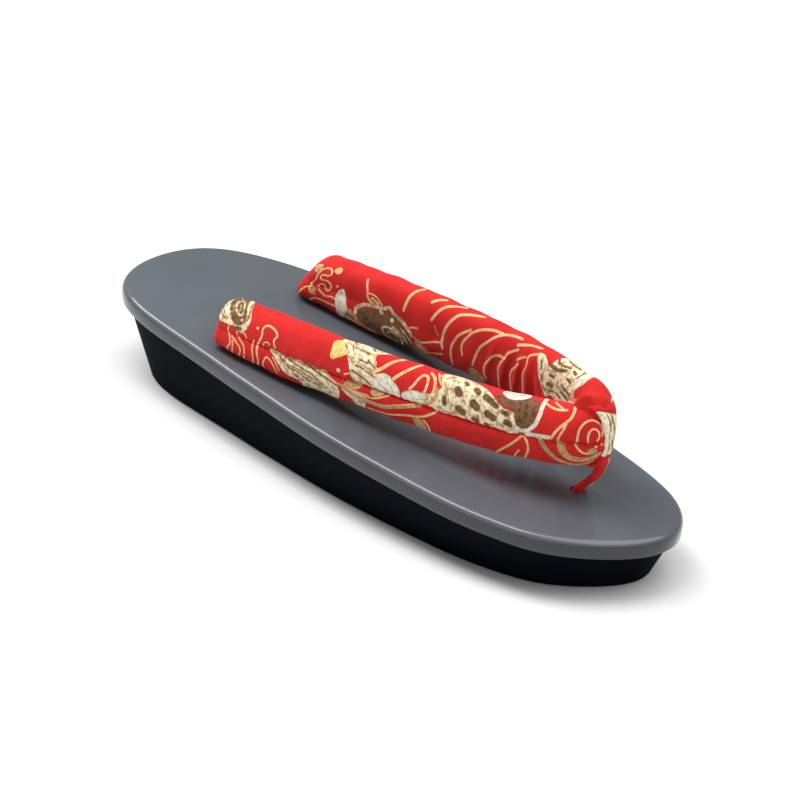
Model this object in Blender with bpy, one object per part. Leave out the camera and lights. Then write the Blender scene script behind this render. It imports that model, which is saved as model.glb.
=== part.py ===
"""Geta sandal: a lacquered board on a tapered sole, with a padded V strap and a front thong.

Metres, +Z up, +Y from heel to toe, +X to the wearer's right.
The origin is on the floor, in the middle of the board's length and width.
"""

import math

import bmesh
import bpy
import numpy as np

for old in list(bpy.data.objects):
    bpy.data.objects.remove(old, do_unlink=True)

# Board and sole
LENGTH = 0.250
WIDTH = 0.087
HEEL_HEIGHT = 0.0376
TOE_HEIGHT = 0.0230
BOARD_THICKNESS = 0.0066
EDGE_RADIUS = 0.0029
EDGE_BREAK = 0.0008
RIM_OVERHANG = 0.0026
SIDE_DRAFT = 0.0054
HEEL_DRAFT = 0.0110
TOE_DRAFT = 0.0067
SOLE_EDGE = 0.0011
GAP = 0.0003

# Strap holes and the wells under them
REAR_HOLES_FROM_HEEL = 0.0670
REAR_HOLE_SPACING = 0.0511
REAR_HOLES_SHIFT = -0.0040
FRONT_HOLE_FROM_TOE = 0.0388
FRONT_HOLE_SHIFT = 0.0033
CORD_RADIUS = 0.0038
WELL_RADIUS = 0.0064
WELL_DEPTH = 0.0100
CORD_RISE = 0.0075
KNOT_RADIUS = 0.0053
KNOT_HEIGHT = 0.0070

# Padded strap
BAND_WIDTH = 0.0250
BAND_THICKNESS = 0.0130
BAND_REAR_ROUND = 0.0062
BAND_APEX_ROUND = 0.0052
LEFT_END_SLANT = 0.0057
RIGHT_END_SLANT = 0.0012
SEAM_DEPTH = 0.0009
SEAM_SPREAD = 0.0014
SHOULDER_FROM_TOE = 0.0560
SHOULDER_SPACING = 0.0509
APEX_PAST_HOLE = 0.0044

# Front thong
THONG_WIDTH = 0.0074
THONG_THICKNESS = 0.0040
THONG_RUN = 0.0114
THONG_RISE = 0.0240
LOOP_DEPTH = 0.0112

# Plan of the board: share of the length, then fullness of each side against an ellipse
PLAN_COLUMNS = ("along", "inner_side", "outer_side")
PLAN = (
    (0.00, 1.54, 1.74),
    (0.05, 1.29, 1.54),
    (0.10, 1.13, 1.40),
    (0.20, 0.97, 1.26),
    (0.35, 0.94, 1.13),
    (0.50, 1.00, 1.02),
    (0.65, 1.08, 0.95),
    (0.80, 1.22, 0.90),
    (0.90, 1.30, 0.97),
    (1.00, 1.16, 1.16),
)

# Heights of the band's two edges over the board along each arm, the left arm's extra height,
# and how far its faces swell at the foot, all in band widths, then the share of thickness
BAND_COLUMNS = ("along", "lower_edge", "upper_edge", "left_extra", "foot", "fullness")
BAND = (
    (0.00, 0.016, 0.71, 0.13, 0.16, 1.27),
    (0.12, 0.024, 0.895, 0.086, 0.12, 1.10),
    (0.22, 0.120, 1.00, 0.08, 0.06, 1.02),
    (0.33, 0.218, 1.11, 0.085, 0.04, 0.98),
    (0.45, 0.296, 1.21, 0.10, 0.01, 0.96),
    (0.62, 0.385, 1.30, 0.13, 0.00, 0.98),
    (0.80, 0.476, 1.38, 0.16, 0.00, 1.02),
    (0.92, 0.524, 1.44, 0.18, 0.00, 1.10),
    (1.00, 0.548, 1.48, 0.19, 0.00, 1.18),
)

# Section of the band: powers that square off its outer face below and above the seam,
# its inner face, and its edges
FACE_POWER_BELOW = 0.75
FACE_POWER_ABOVE = 0.85
FACE_POWER_INNER = 0.70
EDGE_POWER = 0.90

# Ends of the arms: least shares of thickness and height, and the reach of the rear slant.
# The rear share of each arm keeps its lower edge down on the board as its end closes.
END_THICKNESS = 0.12
END_HEIGHT = 0.55
SLANT_REACH = 0.15
REST_REACH = 0.5

# Thong: powers that square off its section and the oval of its loop
THONG_POWER = 0.8
LOOP_POWER_ALONG = 0.7
LOOP_POWER_UP = 0.85

# Path of the thong from its loop to the hole: forward of the hole in shares of THONG_RUN,
# then height over the board in shares of THONG_RISE
STEM_COLUMNS = ("forward", "height")
STEM = (
    (1.00, 1.00),
    (0.98, 0.73),
    (0.86, 0.49),
    (0.53, 0.27),
    (0.16, 0.10),
    (0.02, -0.05),
)

# Knot in a well, from its underside up, in shares of its radius and height
KNOT_COLUMNS = ("radius", "height")
KNOT = (
    (0.45, 0.00),
    (0.85, 0.15),
    (1.00, 0.50),
    (0.85, 0.85),
)

PLAN_POINTS = 60
ARM_STATIONS = 26
END_STATIONS = 6
BAND_SIDES = 28
THONG_SIDES = 12
LOOP_STATIONS = 36
STEM_STATIONS = 26
ROUND_SIDES = 24


def column(table, names, name):
    """Values of one named column of a table."""
    return np.array([row[names.index(name)] for row in table])


def smooth(at, xs, ys):
    """Cubic through the points (xs, ys), with each slope the mean of its two sides."""
    steps = np.diff(ys) / np.diff(xs)
    slopes = np.concatenate(([steps[0]], (steps[1:] + steps[:-1]) / 2, [steps[-1]]))
    i = np.clip(np.searchsorted(xs, at) - 1, 0, len(xs) - 2)
    span = xs[i + 1] - xs[i]
    t = (at - xs[i]) / span
    rise = ys[i + 1] - ys[i]
    bend = (1 - t) * (slopes[i] * span - rise) + t * (rise - slopes[i + 1] * span)
    return ys[i] + t * rise + t * (1 - t) * bend


def plan_half(side):
    """Half outline from heel to toe: an ellipse's width times the side's fullness."""
    turn = np.linspace(0, math.pi, PLAN_POINTS + 1)
    along = (1 - np.cos(turn)) / 2
    fullness = smooth(along, column(PLAN, PLAN_COLUMNS, "along"), column(PLAN, PLAN_COLUMNS, side))
    return WIDTH / 2 * np.sin(turn) * fullness, LENGTH * (along - 0.5)


def plan_outline():
    """Closed outline of the board, counter-clockwise from the heel, and its outward normals."""
    right_x, right_y = plan_half("inner_side")
    left_x, left_y = plan_half("outer_side")
    x = np.concatenate((right_x, -left_x[-2:0:-1]))
    y = np.concatenate((right_y, left_y[-2:0:-1]))
    x = x - (x.max() + x.min()) / 2
    run_x = np.roll(x, -1) - np.roll(x, 1)
    run_y = np.roll(y, -1) - np.roll(y, 1)
    size = np.hypot(run_x, run_y)
    return x, y, run_y / size, -run_x / size


def axis_shift():
    """Distance from the heel-to-toe line to the middle of the outline's width."""
    return (plan_half("inner_side")[0].max() - plan_half("outer_side")[0].max()) / 2


def board_top(y):
    """Height of the board's flat top, which falls evenly from heel to toe."""
    return HEEL_HEIGHT + (TOE_HEIGHT - HEEL_HEIGHT) * (y / LENGTH + 0.5)


def sole_top(y):
    return board_top(y) - BOARD_THICKNESS - GAP


def inset_ring(inset, height_of):
    """Outline moved in by inset, at the height that height_of gives for its y."""
    x, y, nx, ny = plan_outline()
    x = x - nx * inset
    y = y - ny * inset
    return np.stack((x, y, height_of(y)), axis=1)


def material(name, colour, roughness, coat):
    made = bpy.data.materials.new(name)
    made.use_nodes = True
    shader = made.node_tree.nodes["Principled BSDF"]
    shader.inputs["Base Color"].default_value = (*colour, 1.0)
    shader.inputs["Roughness"].default_value = roughness
    shader.inputs["Metallic"].default_value = 0.0
    shader.inputs["Coat Weight"].default_value = coat
    return made


def add_object(name, vertices, faces, finish=None):
    """Mesh object with faces turned outward and round parts shaded smooth."""
    mesh = bpy.data.meshes.new(name)
    mesh.from_pydata([tuple(v) for v in vertices], [], faces)
    work = bmesh.new()
    work.from_mesh(mesh)
    bmesh.ops.recalc_face_normals(work, faces=work.faces)
    work.to_mesh(mesh)
    work.free()
    mesh.shade_smooth()
    mesh.set_sharp_from_angle(angle=math.radians(40))
    made = bpy.data.objects.new(name, mesh)
    bpy.context.collection.objects.link(made)
    if finish is not None:
        mesh.materials.append(finish)
    return made


def loft(name, rings, finish=None, closed=False):
    """Skin over rings of equal count, with flat ends unless the path is closed."""
    count = len(rings[0])
    vertices = np.concatenate(rings)
    spans = len(rings) if closed else len(rings) - 1
    faces = []
    for i in range(spans):
        a = i * count
        b = (i + 1) % len(rings) * count
        for j in range(count):
            k = (j + 1) % count
            faces.append((a + j, a + k, b + k, b + j))
    if not closed:
        faces.append(tuple(range(count))[::-1])
        faces.append(tuple(range(len(vertices) - count, len(vertices))))
    return add_object(name, vertices, faces, finish)


def lathe(name, x, y, profile):
    """Round body on a vertical axis from (radius, height) pairs."""
    turn = np.arange(ROUND_SIDES) * 2 * math.pi / ROUND_SIDES
    rings = []
    for radius, height in profile:
        ring = (x + radius * np.cos(turn), y + radius * np.sin(turn), np.full(ROUND_SIDES, height))
        rings.append(np.stack(ring, axis=1))
    return loft(name, rings)


def guide(made):
    """Marks a body that only shapes another one."""
    made.hide_render = True
    made.display_type = "WIRE"
    return made


def combine(target, tool, operation):
    step = target.modifiers.new(tool.name, "BOOLEAN")
    step.operation = operation
    step.solver = "EXACT"
    step.object = guide(tool)


def hole_places():
    """Centres of the front, right rear and left rear strap holes."""
    shift = axis_shift()
    rear_y = REAR_HOLES_FROM_HEEL - LENGTH / 2
    front_y = LENGTH / 2 - FRONT_HOLE_FROM_TOE
    middle = REAR_HOLES_SHIFT - shift
    return {
        "front": (FRONT_HOLE_SHIFT - shift, front_y),
        "right": (middle + REAR_HOLE_SPACING / 2, rear_y),
        "left": (middle - REAR_HOLE_SPACING / 2, rear_y),
    }


def drill(target, places):
    """Cuts the strap holes through a body."""
    top = HEEL_HEIGHT + BOARD_THICKNESS
    for place, (x, y) in places.items():
        radius = CORD_RADIUS + GAP
        bore = lathe(f"{target.name}_bore_{place}", x, y, ((radius, -top), (radius, top)))
        combine(target, bore, "DIFFERENCE")


def make_footbed():
    """Flat board with a rounded upper edge and a small break on the lower one."""
    rings = [
        inset_ring(EDGE_BREAK, lambda y: board_top(y) - BOARD_THICKNESS),
        inset_ring(0.0, lambda y: board_top(y) - BOARD_THICKNESS + EDGE_BREAK),
    ]
    for turn in np.radians((0, 22.5, 45, 67.5, 90)):
        drop = EDGE_RADIUS * (1 - math.sin(turn))
        rings.append(inset_ring(EDGE_RADIUS * (1 - math.cos(turn)), lambda y: board_top(y) - drop))
    footbed = loft("footbed", rings, material("grey_lacquered_board", (0.16, 0.175, 0.20), 0.32, 0.3))
    drill(footbed, hole_places())


def sole_ring(depth, inset, height_of):
    """Ring of the sole's wall, drawn in by its draft at depth 0 (top) to 1 (floor)."""
    ring = inset_ring(RIM_OVERHANG + inset, height_of)
    half = WIDTH / 2 - RIM_OVERHANG
    x = ring[:, 0] * (1 - depth * SIDE_DRAFT / half)
    start = -LENGTH / 2 + RIM_OVERHANG
    share = (ring[:, 1] - start) / (LENGTH - 2 * RIM_OVERHANG)
    y = ring[:, 1] + depth * (HEEL_DRAFT * (1 - share) - TOE_DRAFT * share)
    return np.stack((x, y, ring[:, 2]), axis=1)


def make_sole_body(places):
    """Tapered block under the board, flat below, with wells for the strap's knots."""
    rings = []
    for turn in np.radians((0, 45, 90)):
        height = SOLE_EDGE * (1 - math.cos(turn))
        inset = SOLE_EDGE * (1 - math.sin(turn))
        rings.append(sole_ring(1 - height / TOE_HEIGHT, inset, lambda y: np.full_like(y, height)))
    rings.append(sole_ring(0.0, 0.0, sole_top))
    sole = loft("sole_body", rings, material("black_gloss_sole", (0.006, 0.007, 0.009), 0.22, 0.4))
    drill(sole, places)
    for place, (x, y) in places.items():
        well = lathe(f"well_{place}", x, y, ((WELL_RADIUS, -WELL_DEPTH), (WELL_RADIUS, WELL_DEPTH)))
        combine(sole, well, "DIFFERENCE")


def knot_profile(top):
    """Cord that goes down a hole and swells into its knot in the well."""
    floor = (WELL_DEPTH - KNOT_HEIGHT) / 2
    radii = KNOT_RADIUS * column(KNOT, KNOT_COLUMNS, "radius")
    heights = floor + KNOT_HEIGHT * column(KNOT, KNOT_COLUMNS, "height")
    return (*zip(radii, heights), (CORD_RADIUS, floor + KNOT_HEIGHT), (CORD_RADIUS, top))


def arm_path(side, places):
    """Plan of one arm from its rear hole past the shoulder to the apex, with both end runs."""
    front_x, front_y = places["front"]
    rear = np.array(places["right" if side > 0 else "left"])
    middle = (places["right"][0] + places["left"][0]) / 2
    shoulder_y = LENGTH / 2 - SHOULDER_FROM_TOE
    lean = (shoulder_y - rear[1]) / (front_y - rear[1])
    shoulder_x = middle + (front_x - middle) * lean + side * SHOULDER_SPACING / 2
    shoulder = np.array((shoulder_x, shoulder_y))
    apex = np.array((front_x, front_y + APEX_PAST_HOLE))
    t = np.linspace(0, 1, ARM_STATIONS)[:, None]
    bend = (1 - t) ** 2 * rear + 2 * t * (1 - t) * shoulder + t ** 2 * apex
    back = (rear - shoulder) / np.linalg.norm(rear - shoulder)
    ahead = (apex - shoulder) / np.linalg.norm(apex - shoulder)
    turn = np.linspace(0, math.pi / 2, END_STATIONS + 1)[1:]
    past = np.sin(turn)[:, None]
    rear_run = rear + back * BAND_REAR_ROUND * past[::-1]
    apex_run = apex + ahead * BAND_APEX_ROUND * past
    path = np.concatenate((rear_run, bend, apex_run))
    along = np.concatenate((np.zeros(END_STATIONS), t[:, 0], np.ones(END_STATIONS)))
    close = np.maximum(np.cos(turn), END_THICKNESS)
    taper = np.concatenate((close[::-1], np.ones(ARM_STATIONS), close))
    return path, along, taper


def band_row(along, name):
    return smooth(along, column(BAND, BAND_COLUMNS, "along"), column(BAND, BAND_COLUMNS, name))


def band_rings(side, places):
    """Sections of one arm, on edge over the board, with a seam trough along the outer face."""
    path, along, taper = arm_path(side, places)
    lower = BAND_WIDTH * band_row(along, "lower_edge")
    upper = BAND_WIDTH * band_row(along, "upper_edge")
    slant = RIGHT_END_SLANT
    if side < 0:
        upper = upper + BAND_WIDTH * band_row(along, "left_extra")
        slant = LEFT_END_SLANT
    foot = BAND_WIDTH * band_row(along, "foot")
    half = BAND_THICKNESS / 2 * band_row(along, "fullness")
    turn = np.arange(BAND_SIDES) * 2 * math.pi / BAND_SIDES
    face_power = np.where(turn > math.pi, FACE_POWER_BELOW, FACE_POWER_ABOVE)
    face_power = np.where(np.cos(turn) > 0, face_power, FACE_POWER_INNER)
    wide = np.sign(np.cos(turn)) * np.abs(np.cos(turn)) ** face_power
    high = np.sign(np.sin(turn)) * np.abs(np.sin(turn)) ** EDGE_POWER
    swell = np.maximum(0.0, -high) * wide
    from_seam = BAND_WIDTH / 2 * np.where(np.cos(turn) > 0, high, 1.0)
    seam = np.exp(-((from_seam / SEAM_SPREAD) ** 2))
    run = np.gradient(path, axis=0)
    run = run / np.linalg.norm(run, axis=1)[:, None]
    rings = []
    for i, (x, y) in enumerate(path):
        shut = taper[i]
        across = (half[i] * wide + foot[i] * swell - SEAM_DEPTH * seam) * shut * side
        squeeze = END_HEIGHT + (1 - END_HEIGHT) * shut
        rests = (high < 0) & (along[i] < REST_REACH)
        rise = high * (upper[i] - lower[i]) / 2 * np.where(rests, 1.0, squeeze)
        back = slant * high * max(0.0, 1 - along[i] / SLANT_REACH)
        ring_x = x + across * run[i, 1] + back * run[i, 0]
        ring_y = y - across * run[i, 0] + back * run[i, 1]
        ring_z = board_top(ring_y) + (upper[i] + lower[i]) / 2 + rise
        rings.append(np.stack((ring_x, ring_y, ring_z), axis=1))
    return rings


def smooth_path(points, count):
    """Even reading of a smooth curve through a few points."""
    points = np.array(points)
    reach = np.concatenate(([0.0], np.cumsum(np.linalg.norm(np.diff(points, axis=0), axis=1))))
    at = np.linspace(0, reach[-1], count)
    return np.stack([smooth(at, reach, points[:, k]) for k in range(points.shape[1])], axis=1)


def thong_rings(path, x, width, thickness, closed):
    """Oval sections square to a path in the plane of the sandal's length and height."""
    turn = np.arange(THONG_SIDES) * 2 * math.pi / THONG_SIDES
    if closed:
        run = np.roll(path, -1, axis=0) - np.roll(path, 1, axis=0)
    else:
        run = np.gradient(path, axis=0)
    run = run / np.linalg.norm(run, axis=1)[:, None]
    rings = []
    for (y, z), (run_y, run_z) in zip(path, run):
        flat = thickness / 2 * np.sin(turn)
        across = width / 2 * np.sign(np.cos(turn)) * np.abs(np.cos(turn)) ** THONG_POWER
        rings.append(np.stack((x + across, y + flat * run_z, z - flat * run_y), axis=1))
    return rings


def loop_path(places):
    """Closed oval round the apex of the strap, as (y, z)."""
    apex_y = places["front"][1] + APEX_PAST_HOLE
    base = board_top(apex_y)
    low = base + BAND_WIDTH * band_row(1.0, "lower_edge")
    high = base + BAND_WIDTH * band_row(1.0, "upper_edge")
    offset = THONG_THICKNESS / 2 - GAP
    front = apex_y + BAND_APEX_ROUND + offset
    back = front - LOOP_DEPTH - THONG_THICKNESS
    turn = np.arange(LOOP_STATIONS) * 2 * math.pi / LOOP_STATIONS
    cos = np.sign(np.cos(turn)) * np.abs(np.cos(turn)) ** LOOP_POWER_ALONG
    sin = np.sign(np.sin(turn)) * np.abs(np.sin(turn)) ** LOOP_POWER_UP
    y = (front + back) / 2 + (front - back) / 2 * cos
    z = (low + high) / 2 + ((high - low) / 2 + offset) * sin
    return np.stack((y, z), axis=1)


def stem_path(places):
    """Thong from the front of its loop, down and back into the front hole."""
    hole_y = places["front"][1]
    ys = hole_y + THONG_RUN * column(STEM, STEM_COLUMNS, "forward")
    heights = board_top(hole_y) + THONG_RISE * column(STEM, STEM_COLUMNS, "height")
    return smooth_path((*zip(ys, heights), (hole_y, WELL_DEPTH)), STEM_STATIONS)


def make_strap(places):
    """Two padded arms joined at the apex, with a cord and knot under each rear end."""
    cloth = material("red_print_cotton", (0.62, 0.02, 0.015), 0.8, 0.0)
    strap = loft("strap", band_rings(1, places), cloth)
    combine(strap, loft("left_arm", band_rings(-1, places)), "UNION")
    for place in ("right", "left"):
        x, y = places[place]
        cord = lathe(f"cord_{place}", x, y, knot_profile(board_top(y) + CORD_RISE))
        combine(strap, cord, "UNION")
    x = places["front"][0]
    room = 2 * GAP
    wide = THONG_WIDTH + room
    deep = THONG_THICKNESS + room
    loop_room = thong_rings(loop_path(places), x, wide, deep, True)
    stem_room = thong_rings(stem_path(places), x, wide, deep, False)
    combine(strap, loft("loop_room", loop_room, closed=True), "DIFFERENCE")
    combine(strap, loft("stem_room", stem_room), "DIFFERENCE")


def make_front_thong(places):
    """Narrow band looped over the apex, led down into the front hole and knotted below."""
    cloth = material("red_thong_cotton", (0.60, 0.02, 0.015), 0.8, 0.0)
    x, y = places["front"]
    loop = thong_rings(loop_path(places), x, THONG_WIDTH, THONG_THICKNESS, True)
    thong = loft("front_thong", loop, cloth, closed=True)
    stem = thong_rings(stem_path(places), x, THONG_WIDTH - GAP, THONG_THICKNESS, False)
    combine(thong, loft("stem", stem), "UNION")
    knot = lathe("front_knot", x, y, knot_profile(WELL_DEPTH + THONG_THICKNESS))
    combine(thong, knot, "UNION")


holes = hole_places()
make_footbed()
make_sole_body(holes)
make_strap(holes)
make_front_thong(holes)
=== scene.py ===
"""Geta sandal: a grey lacquered board on a black sole, with a padded strap of printed cotton.

Everything is in metres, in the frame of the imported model: +Z up, +Y from heel to toe.
"""

import math

import bpy
import numpy as np
from mathutils import Matrix


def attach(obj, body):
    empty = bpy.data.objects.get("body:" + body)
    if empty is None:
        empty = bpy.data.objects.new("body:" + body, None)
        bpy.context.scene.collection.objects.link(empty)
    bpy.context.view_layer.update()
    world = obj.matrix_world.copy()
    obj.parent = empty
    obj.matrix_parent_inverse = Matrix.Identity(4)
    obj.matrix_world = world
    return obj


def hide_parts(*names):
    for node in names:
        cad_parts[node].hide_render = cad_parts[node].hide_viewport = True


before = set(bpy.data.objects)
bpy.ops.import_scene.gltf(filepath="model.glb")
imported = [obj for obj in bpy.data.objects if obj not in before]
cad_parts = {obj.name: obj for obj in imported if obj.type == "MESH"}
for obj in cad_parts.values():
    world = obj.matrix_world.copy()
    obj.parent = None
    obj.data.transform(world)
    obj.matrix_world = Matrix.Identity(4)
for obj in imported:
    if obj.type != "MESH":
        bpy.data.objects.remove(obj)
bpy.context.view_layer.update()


# Camera: a long lens from the wearer's front right, above the toe, rolled a little.
# It is placed from an azimuth, a height angle and the distance to a point on the sandal.
CAMERA_AZIMUTH = 126.79
CAMERA_HEIGHT = 30.01
CAMERA_ROLL = 4.0
CAMERA_DISTANCE = 0.92791
CAMERA_LENS = 113.23
SENSOR = 36.0
IMAGE_SIZE = 800
CENTRE_X_PX = 390.46
CENTRE_Y_PX = 410.26
LOOK_AT = (0.0010366, 0.0, 0.020)


def camera_axes(azimuth, height, roll):
    """Right, up and forward of a level camera, with right and up turned by the roll."""
    a = math.radians(azimuth)
    e = math.radians(height)
    r = math.radians(roll)
    forward = -np.array((math.sin(a) * math.cos(e), -math.cos(a) * math.cos(e), math.sin(e)))
    level = np.cross(forward, (0, 0, 1))
    level /= np.linalg.norm(level)
    above = np.cross(level, forward)
    right = level * math.cos(r) + above * math.sin(r)
    up = -level * math.sin(r) + above * math.cos(r)
    return right, up, forward


def make_camera():
    """Camera set back from the point it looks at, and aside by that point's place in the image."""
    right, up, forward = camera_axes(CAMERA_AZIMUTH, CAMERA_HEIGHT, CAMERA_ROLL)
    metres_per_px = CAMERA_DISTANCE * SENSOR / CAMERA_LENS / IMAGE_SIZE
    aside = (CENTRE_X_PX - IMAGE_SIZE / 2) * metres_per_px
    raised = -(CENTRE_Y_PX - IMAGE_SIZE / 2) * metres_per_px
    place = np.array(LOOK_AT) - right * aside - up * raised - forward * CAMERA_DISTANCE
    data = bpy.data.cameras.new("product_camera")
    data.sensor_width = SENSOR
    data.lens = CAMERA_LENS
    data.clip_start = 0.01
    camera = bpy.data.objects.new("product_camera", data)
    bpy.context.collection.objects.link(camera)
    matrix = np.identity(4)
    matrix[:3, 0] = right
    matrix[:3, 1] = up
    matrix[:3, 2] = -forward
    matrix[:3, 3] = place
    camera.matrix_world = Matrix(matrix.tolist())
    bpy.context.scene.camera = camera


make_camera()


# Board: one piece of wood shaped to the foot, sprayed with grey lacquer and polished.
# Its upper edge is rounded over, and three holes take the strap.
LENGTH = 0.250
WIDTH = 0.087
HEEL_HEIGHT = 0.0376
TOE_HEIGHT = 0.0230
BOARD_THICKNESS = 0.0066
EDGE_RADIUS = 0.0029
EDGE_BREAK = 0.0008
GAP = 0.0003
REAR_HOLES_FROM_HEEL = 0.0670
REAR_HOLE_SPACING = 0.0511
REAR_HOLES_SHIFT = -0.0040
FRONT_HOLE_FROM_TOE = 0.0388
FRONT_HOLE_SHIFT = 0.0033
CORD_RADIUS = 0.0038
FRONT_HOLE_RADIUS = 0.0023
HOLE_EASE = 0.0005
HOLE_SIDES = 64
CUTTER_BOTTOM = -0.01
CUTTER_TOP = 0.05
CUTTER_RISE = 0.004
TOP_INSET = 0.0015
FLAT_AREA = 0.0001
SHARP_ANGLE = 40
OUTLINE_POINTS = 180
EDGE_STEPS = 12

# Plan of the board: share of the length, then fullness of each side against an ellipse
PLAN_COLUMNS = ("along", "inner_side", "outer_side")
PLAN = (
    (0.00, 1.54, 1.74),
    (0.05, 1.29, 1.54),
    (0.10, 1.13, 1.40),
    (0.20, 0.97, 1.26),
    (0.35, 0.94, 1.13),
    (0.50, 1.00, 1.02),
    (0.65, 1.08, 0.95),
    (0.80, 1.22, 0.90),
    (0.90, 1.30, 0.97),
    (1.00, 1.16, 1.16),
)


def column(table, names, name):
    """Values of one named column of a table."""
    return np.array([row[names.index(name)] for row in table])


def smooth(at, xs, ys):
    """Cubic through the points (xs, ys), with each slope the mean of its two sides."""
    steps = np.diff(ys) / np.diff(xs)
    slopes = np.concatenate(([steps[0]], (steps[1:] + steps[:-1]) / 2, [steps[-1]]))
    i = np.clip(np.searchsorted(xs, at) - 1, 0, len(xs) - 2)
    span = xs[i + 1] - xs[i]
    t = (at - xs[i]) / span
    rise = ys[i + 1] - ys[i]
    bend = (1 - t) * (slopes[i] * span - rise) + t * (rise - slopes[i + 1] * span)
    return ys[i] + t * rise + t * (1 - t) * bend


def plan_half(side, points):
    """Half outline from heel to toe: an ellipse's width times the side's fullness."""
    turn = np.linspace(0, math.pi, points + 1)
    along = (1 - np.cos(turn)) / 2
    fullness = smooth(along, column(PLAN, PLAN_COLUMNS, "along"), column(PLAN, PLAN_COLUMNS, side))
    return WIDTH / 2 * np.sin(turn) * fullness, LENGTH * (along - 0.5)


def plan_outline():
    """Closed outline, counter-clockwise from the heel, with its outward normals.

    The two half outlines are joined and centred; a normal is a quarter turn of the step between
    the points on either side.
    """
    right_x, right_y = plan_half("inner_side", OUTLINE_POINTS)
    left_x, left_y = plan_half("outer_side", OUTLINE_POINTS)
    x = np.concatenate((right_x, -left_x[-2:0:-1]))
    y = np.concatenate((right_y, left_y[-2:0:-1]))
    x = x - (x.max() + x.min()) / 2
    run_x = np.roll(x, -1) - np.roll(x, 1)
    run_y = np.roll(y, -1) - np.roll(y, 1)
    size = np.hypot(run_x, run_y)
    return x, y, run_y / size, -run_x / size


OUTLINE = plan_outline()
AXIS_SHIFT = (plan_half("inner_side", 60)[0].max() - plan_half("outer_side", 60)[0].max()) / 2


def board_top(y):
    """Height of the board's flat top, which falls evenly from heel to toe."""
    return HEEL_HEIGHT + (TOE_HEIGHT - HEEL_HEIGHT) * (y / LENGTH + 0.5)


def inset_ring(inset, height_of):
    """Outline moved in by inset, at the height that height_of gives for its y."""
    x, y, nx, ny = OUTLINE
    x = x - nx * inset
    y = y - ny * inset
    return np.stack((x, y, height_of(y)), axis=1)


def hole_places():
    """Centres of the front, right rear and left rear strap holes."""
    rear_y = REAR_HOLES_FROM_HEEL - LENGTH / 2
    middle = REAR_HOLES_SHIFT - AXIS_SHIFT
    return {
        "front": (FRONT_HOLE_SHIFT - AXIS_SHIFT, LENGTH / 2 - FRONT_HOLE_FROM_TOE),
        "right": (middle + REAR_HOLE_SPACING / 2, rear_y),
        "left": (middle - REAR_HOLE_SPACING / 2, rear_y),
    }


HOLES = hole_places()


def linear(colour):
    """Linear red, green, blue and alpha of an sRGB hex colour."""
    values = [int(colour[k:k + 2], 16) / 255 for k in (1, 3, 5)]
    return tuple(v / 12.92 if v <= 0.04045 else ((v + 0.055) / 1.055) ** 2.4 for v in values) + (1.0,)


def add_node(tree, kind, settings=(), values=(), links=()):
    """Adds a node, sets its properties and sockets, and links sockets of other nodes to it."""
    node = tree.nodes.new(kind)
    for name, value in dict(settings).items():
        setattr(node, name, value)
    for name, value in dict(values).items():
        node.inputs[name].default_value = value
    for name, source in dict(links).items():
        tree.links.new(source, node.inputs[name])
    return node


def new_finish(name, values):
    """Material with one Principled shader that has these socket values."""
    finish = bpy.data.materials.new(name)
    finish.use_nodes = True
    tree = finish.node_tree
    shader = tree.nodes["Principled BSDF"]
    for socket, value in values.items():
        shader.inputs[socket].default_value = value
    return finish, tree, shader


def grid_faces(rows, count, wrap_rows=False, first=0):
    """Quads between rows of count points each, with every row closed on itself."""
    spans = rows if wrap_rows else rows - 1
    i, j = np.meshgrid(np.arange(spans), np.arange(count), indexing="ij")
    after = (i + 1) % rows
    k = (j + 1) % count
    quads = np.stack((i * count + j, i * count + k, after * count + k, after * count + j), axis=-1)
    return quads.reshape(-1, 4) + first


def add_piece(name, vertices, quads, caps=(), finish=None, sharp=None):
    """Mesh object from points, an array of quads, and rings of point numbers that close its ends."""
    mesh = bpy.data.meshes.new(name)
    faces = [tuple(q) for q in quads.tolist()] + [tuple(c) for c in caps]
    mesh.from_pydata(np.asarray(vertices).tolist(), [], faces)
    mesh.shade_smooth()
    if sharp is not None:
        mesh.set_sharp_from_angle(angle=math.radians(sharp))
    if finish is not None:
        mesh.materials.append(finish)
    piece = bpy.data.objects.new(name, mesh)
    bpy.context.collection.objects.link(piece)
    return piece


def loft(name, rings, finish=None, sharp=None):
    """Skin over rings of equal count from the bottom up, with flat ends."""
    rings = np.array(rings)
    rows, count = rings.shape[:2]
    last = (rows - 1) * count
    caps = (range(count - 1, -1, -1), range(last, last + count))
    return add_piece(name, rings.reshape(-1, 3), grid_faces(rows, count), caps, finish, sharp)


def lathe_rings(x, y, profile, count):
    """Rings of a round body on a vertical axis from (radius, height) pairs."""
    turn = np.arange(count) * 2 * math.pi / count
    radius = np.array([p[0] for p in profile])[:, None]
    height = np.array([p[1] for p in profile])[:, None] + 0 * turn
    return np.stack((x + radius * np.cos(turn), y + radius * np.sin(turn), height), axis=2)


def cut_away(piece, cutters):
    """Takes the cutters out of a piece, keeps the result as its mesh and deletes the cutters.

    Faces wider than the holes are flat ones, so they are shaded flat and the rounds smooth.
    """
    for cutter in cutters:
        step = piece.modifiers.new(cutter.name, "BOOLEAN")
        step.operation = "DIFFERENCE"
        step.solver = "EXACT"
        step.object = cutter
    shown = piece.evaluated_get(bpy.context.evaluated_depsgraph_get())
    mesh = bpy.data.meshes.new_from_object(shown)
    piece.modifiers.clear()
    piece.data = mesh
    mesh.shade_smooth()
    mesh.set_sharp_from_angle(angle=math.radians(SHARP_ANGLE))
    area = np.empty(len(mesh.polygons))
    mesh.polygons.foreach_get("area", area)
    mesh.polygons.foreach_set("use_smooth", area < FLAT_AREA)
    for cutter in cutters:
        bpy.data.objects.remove(cutter, do_unlink=True)


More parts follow.
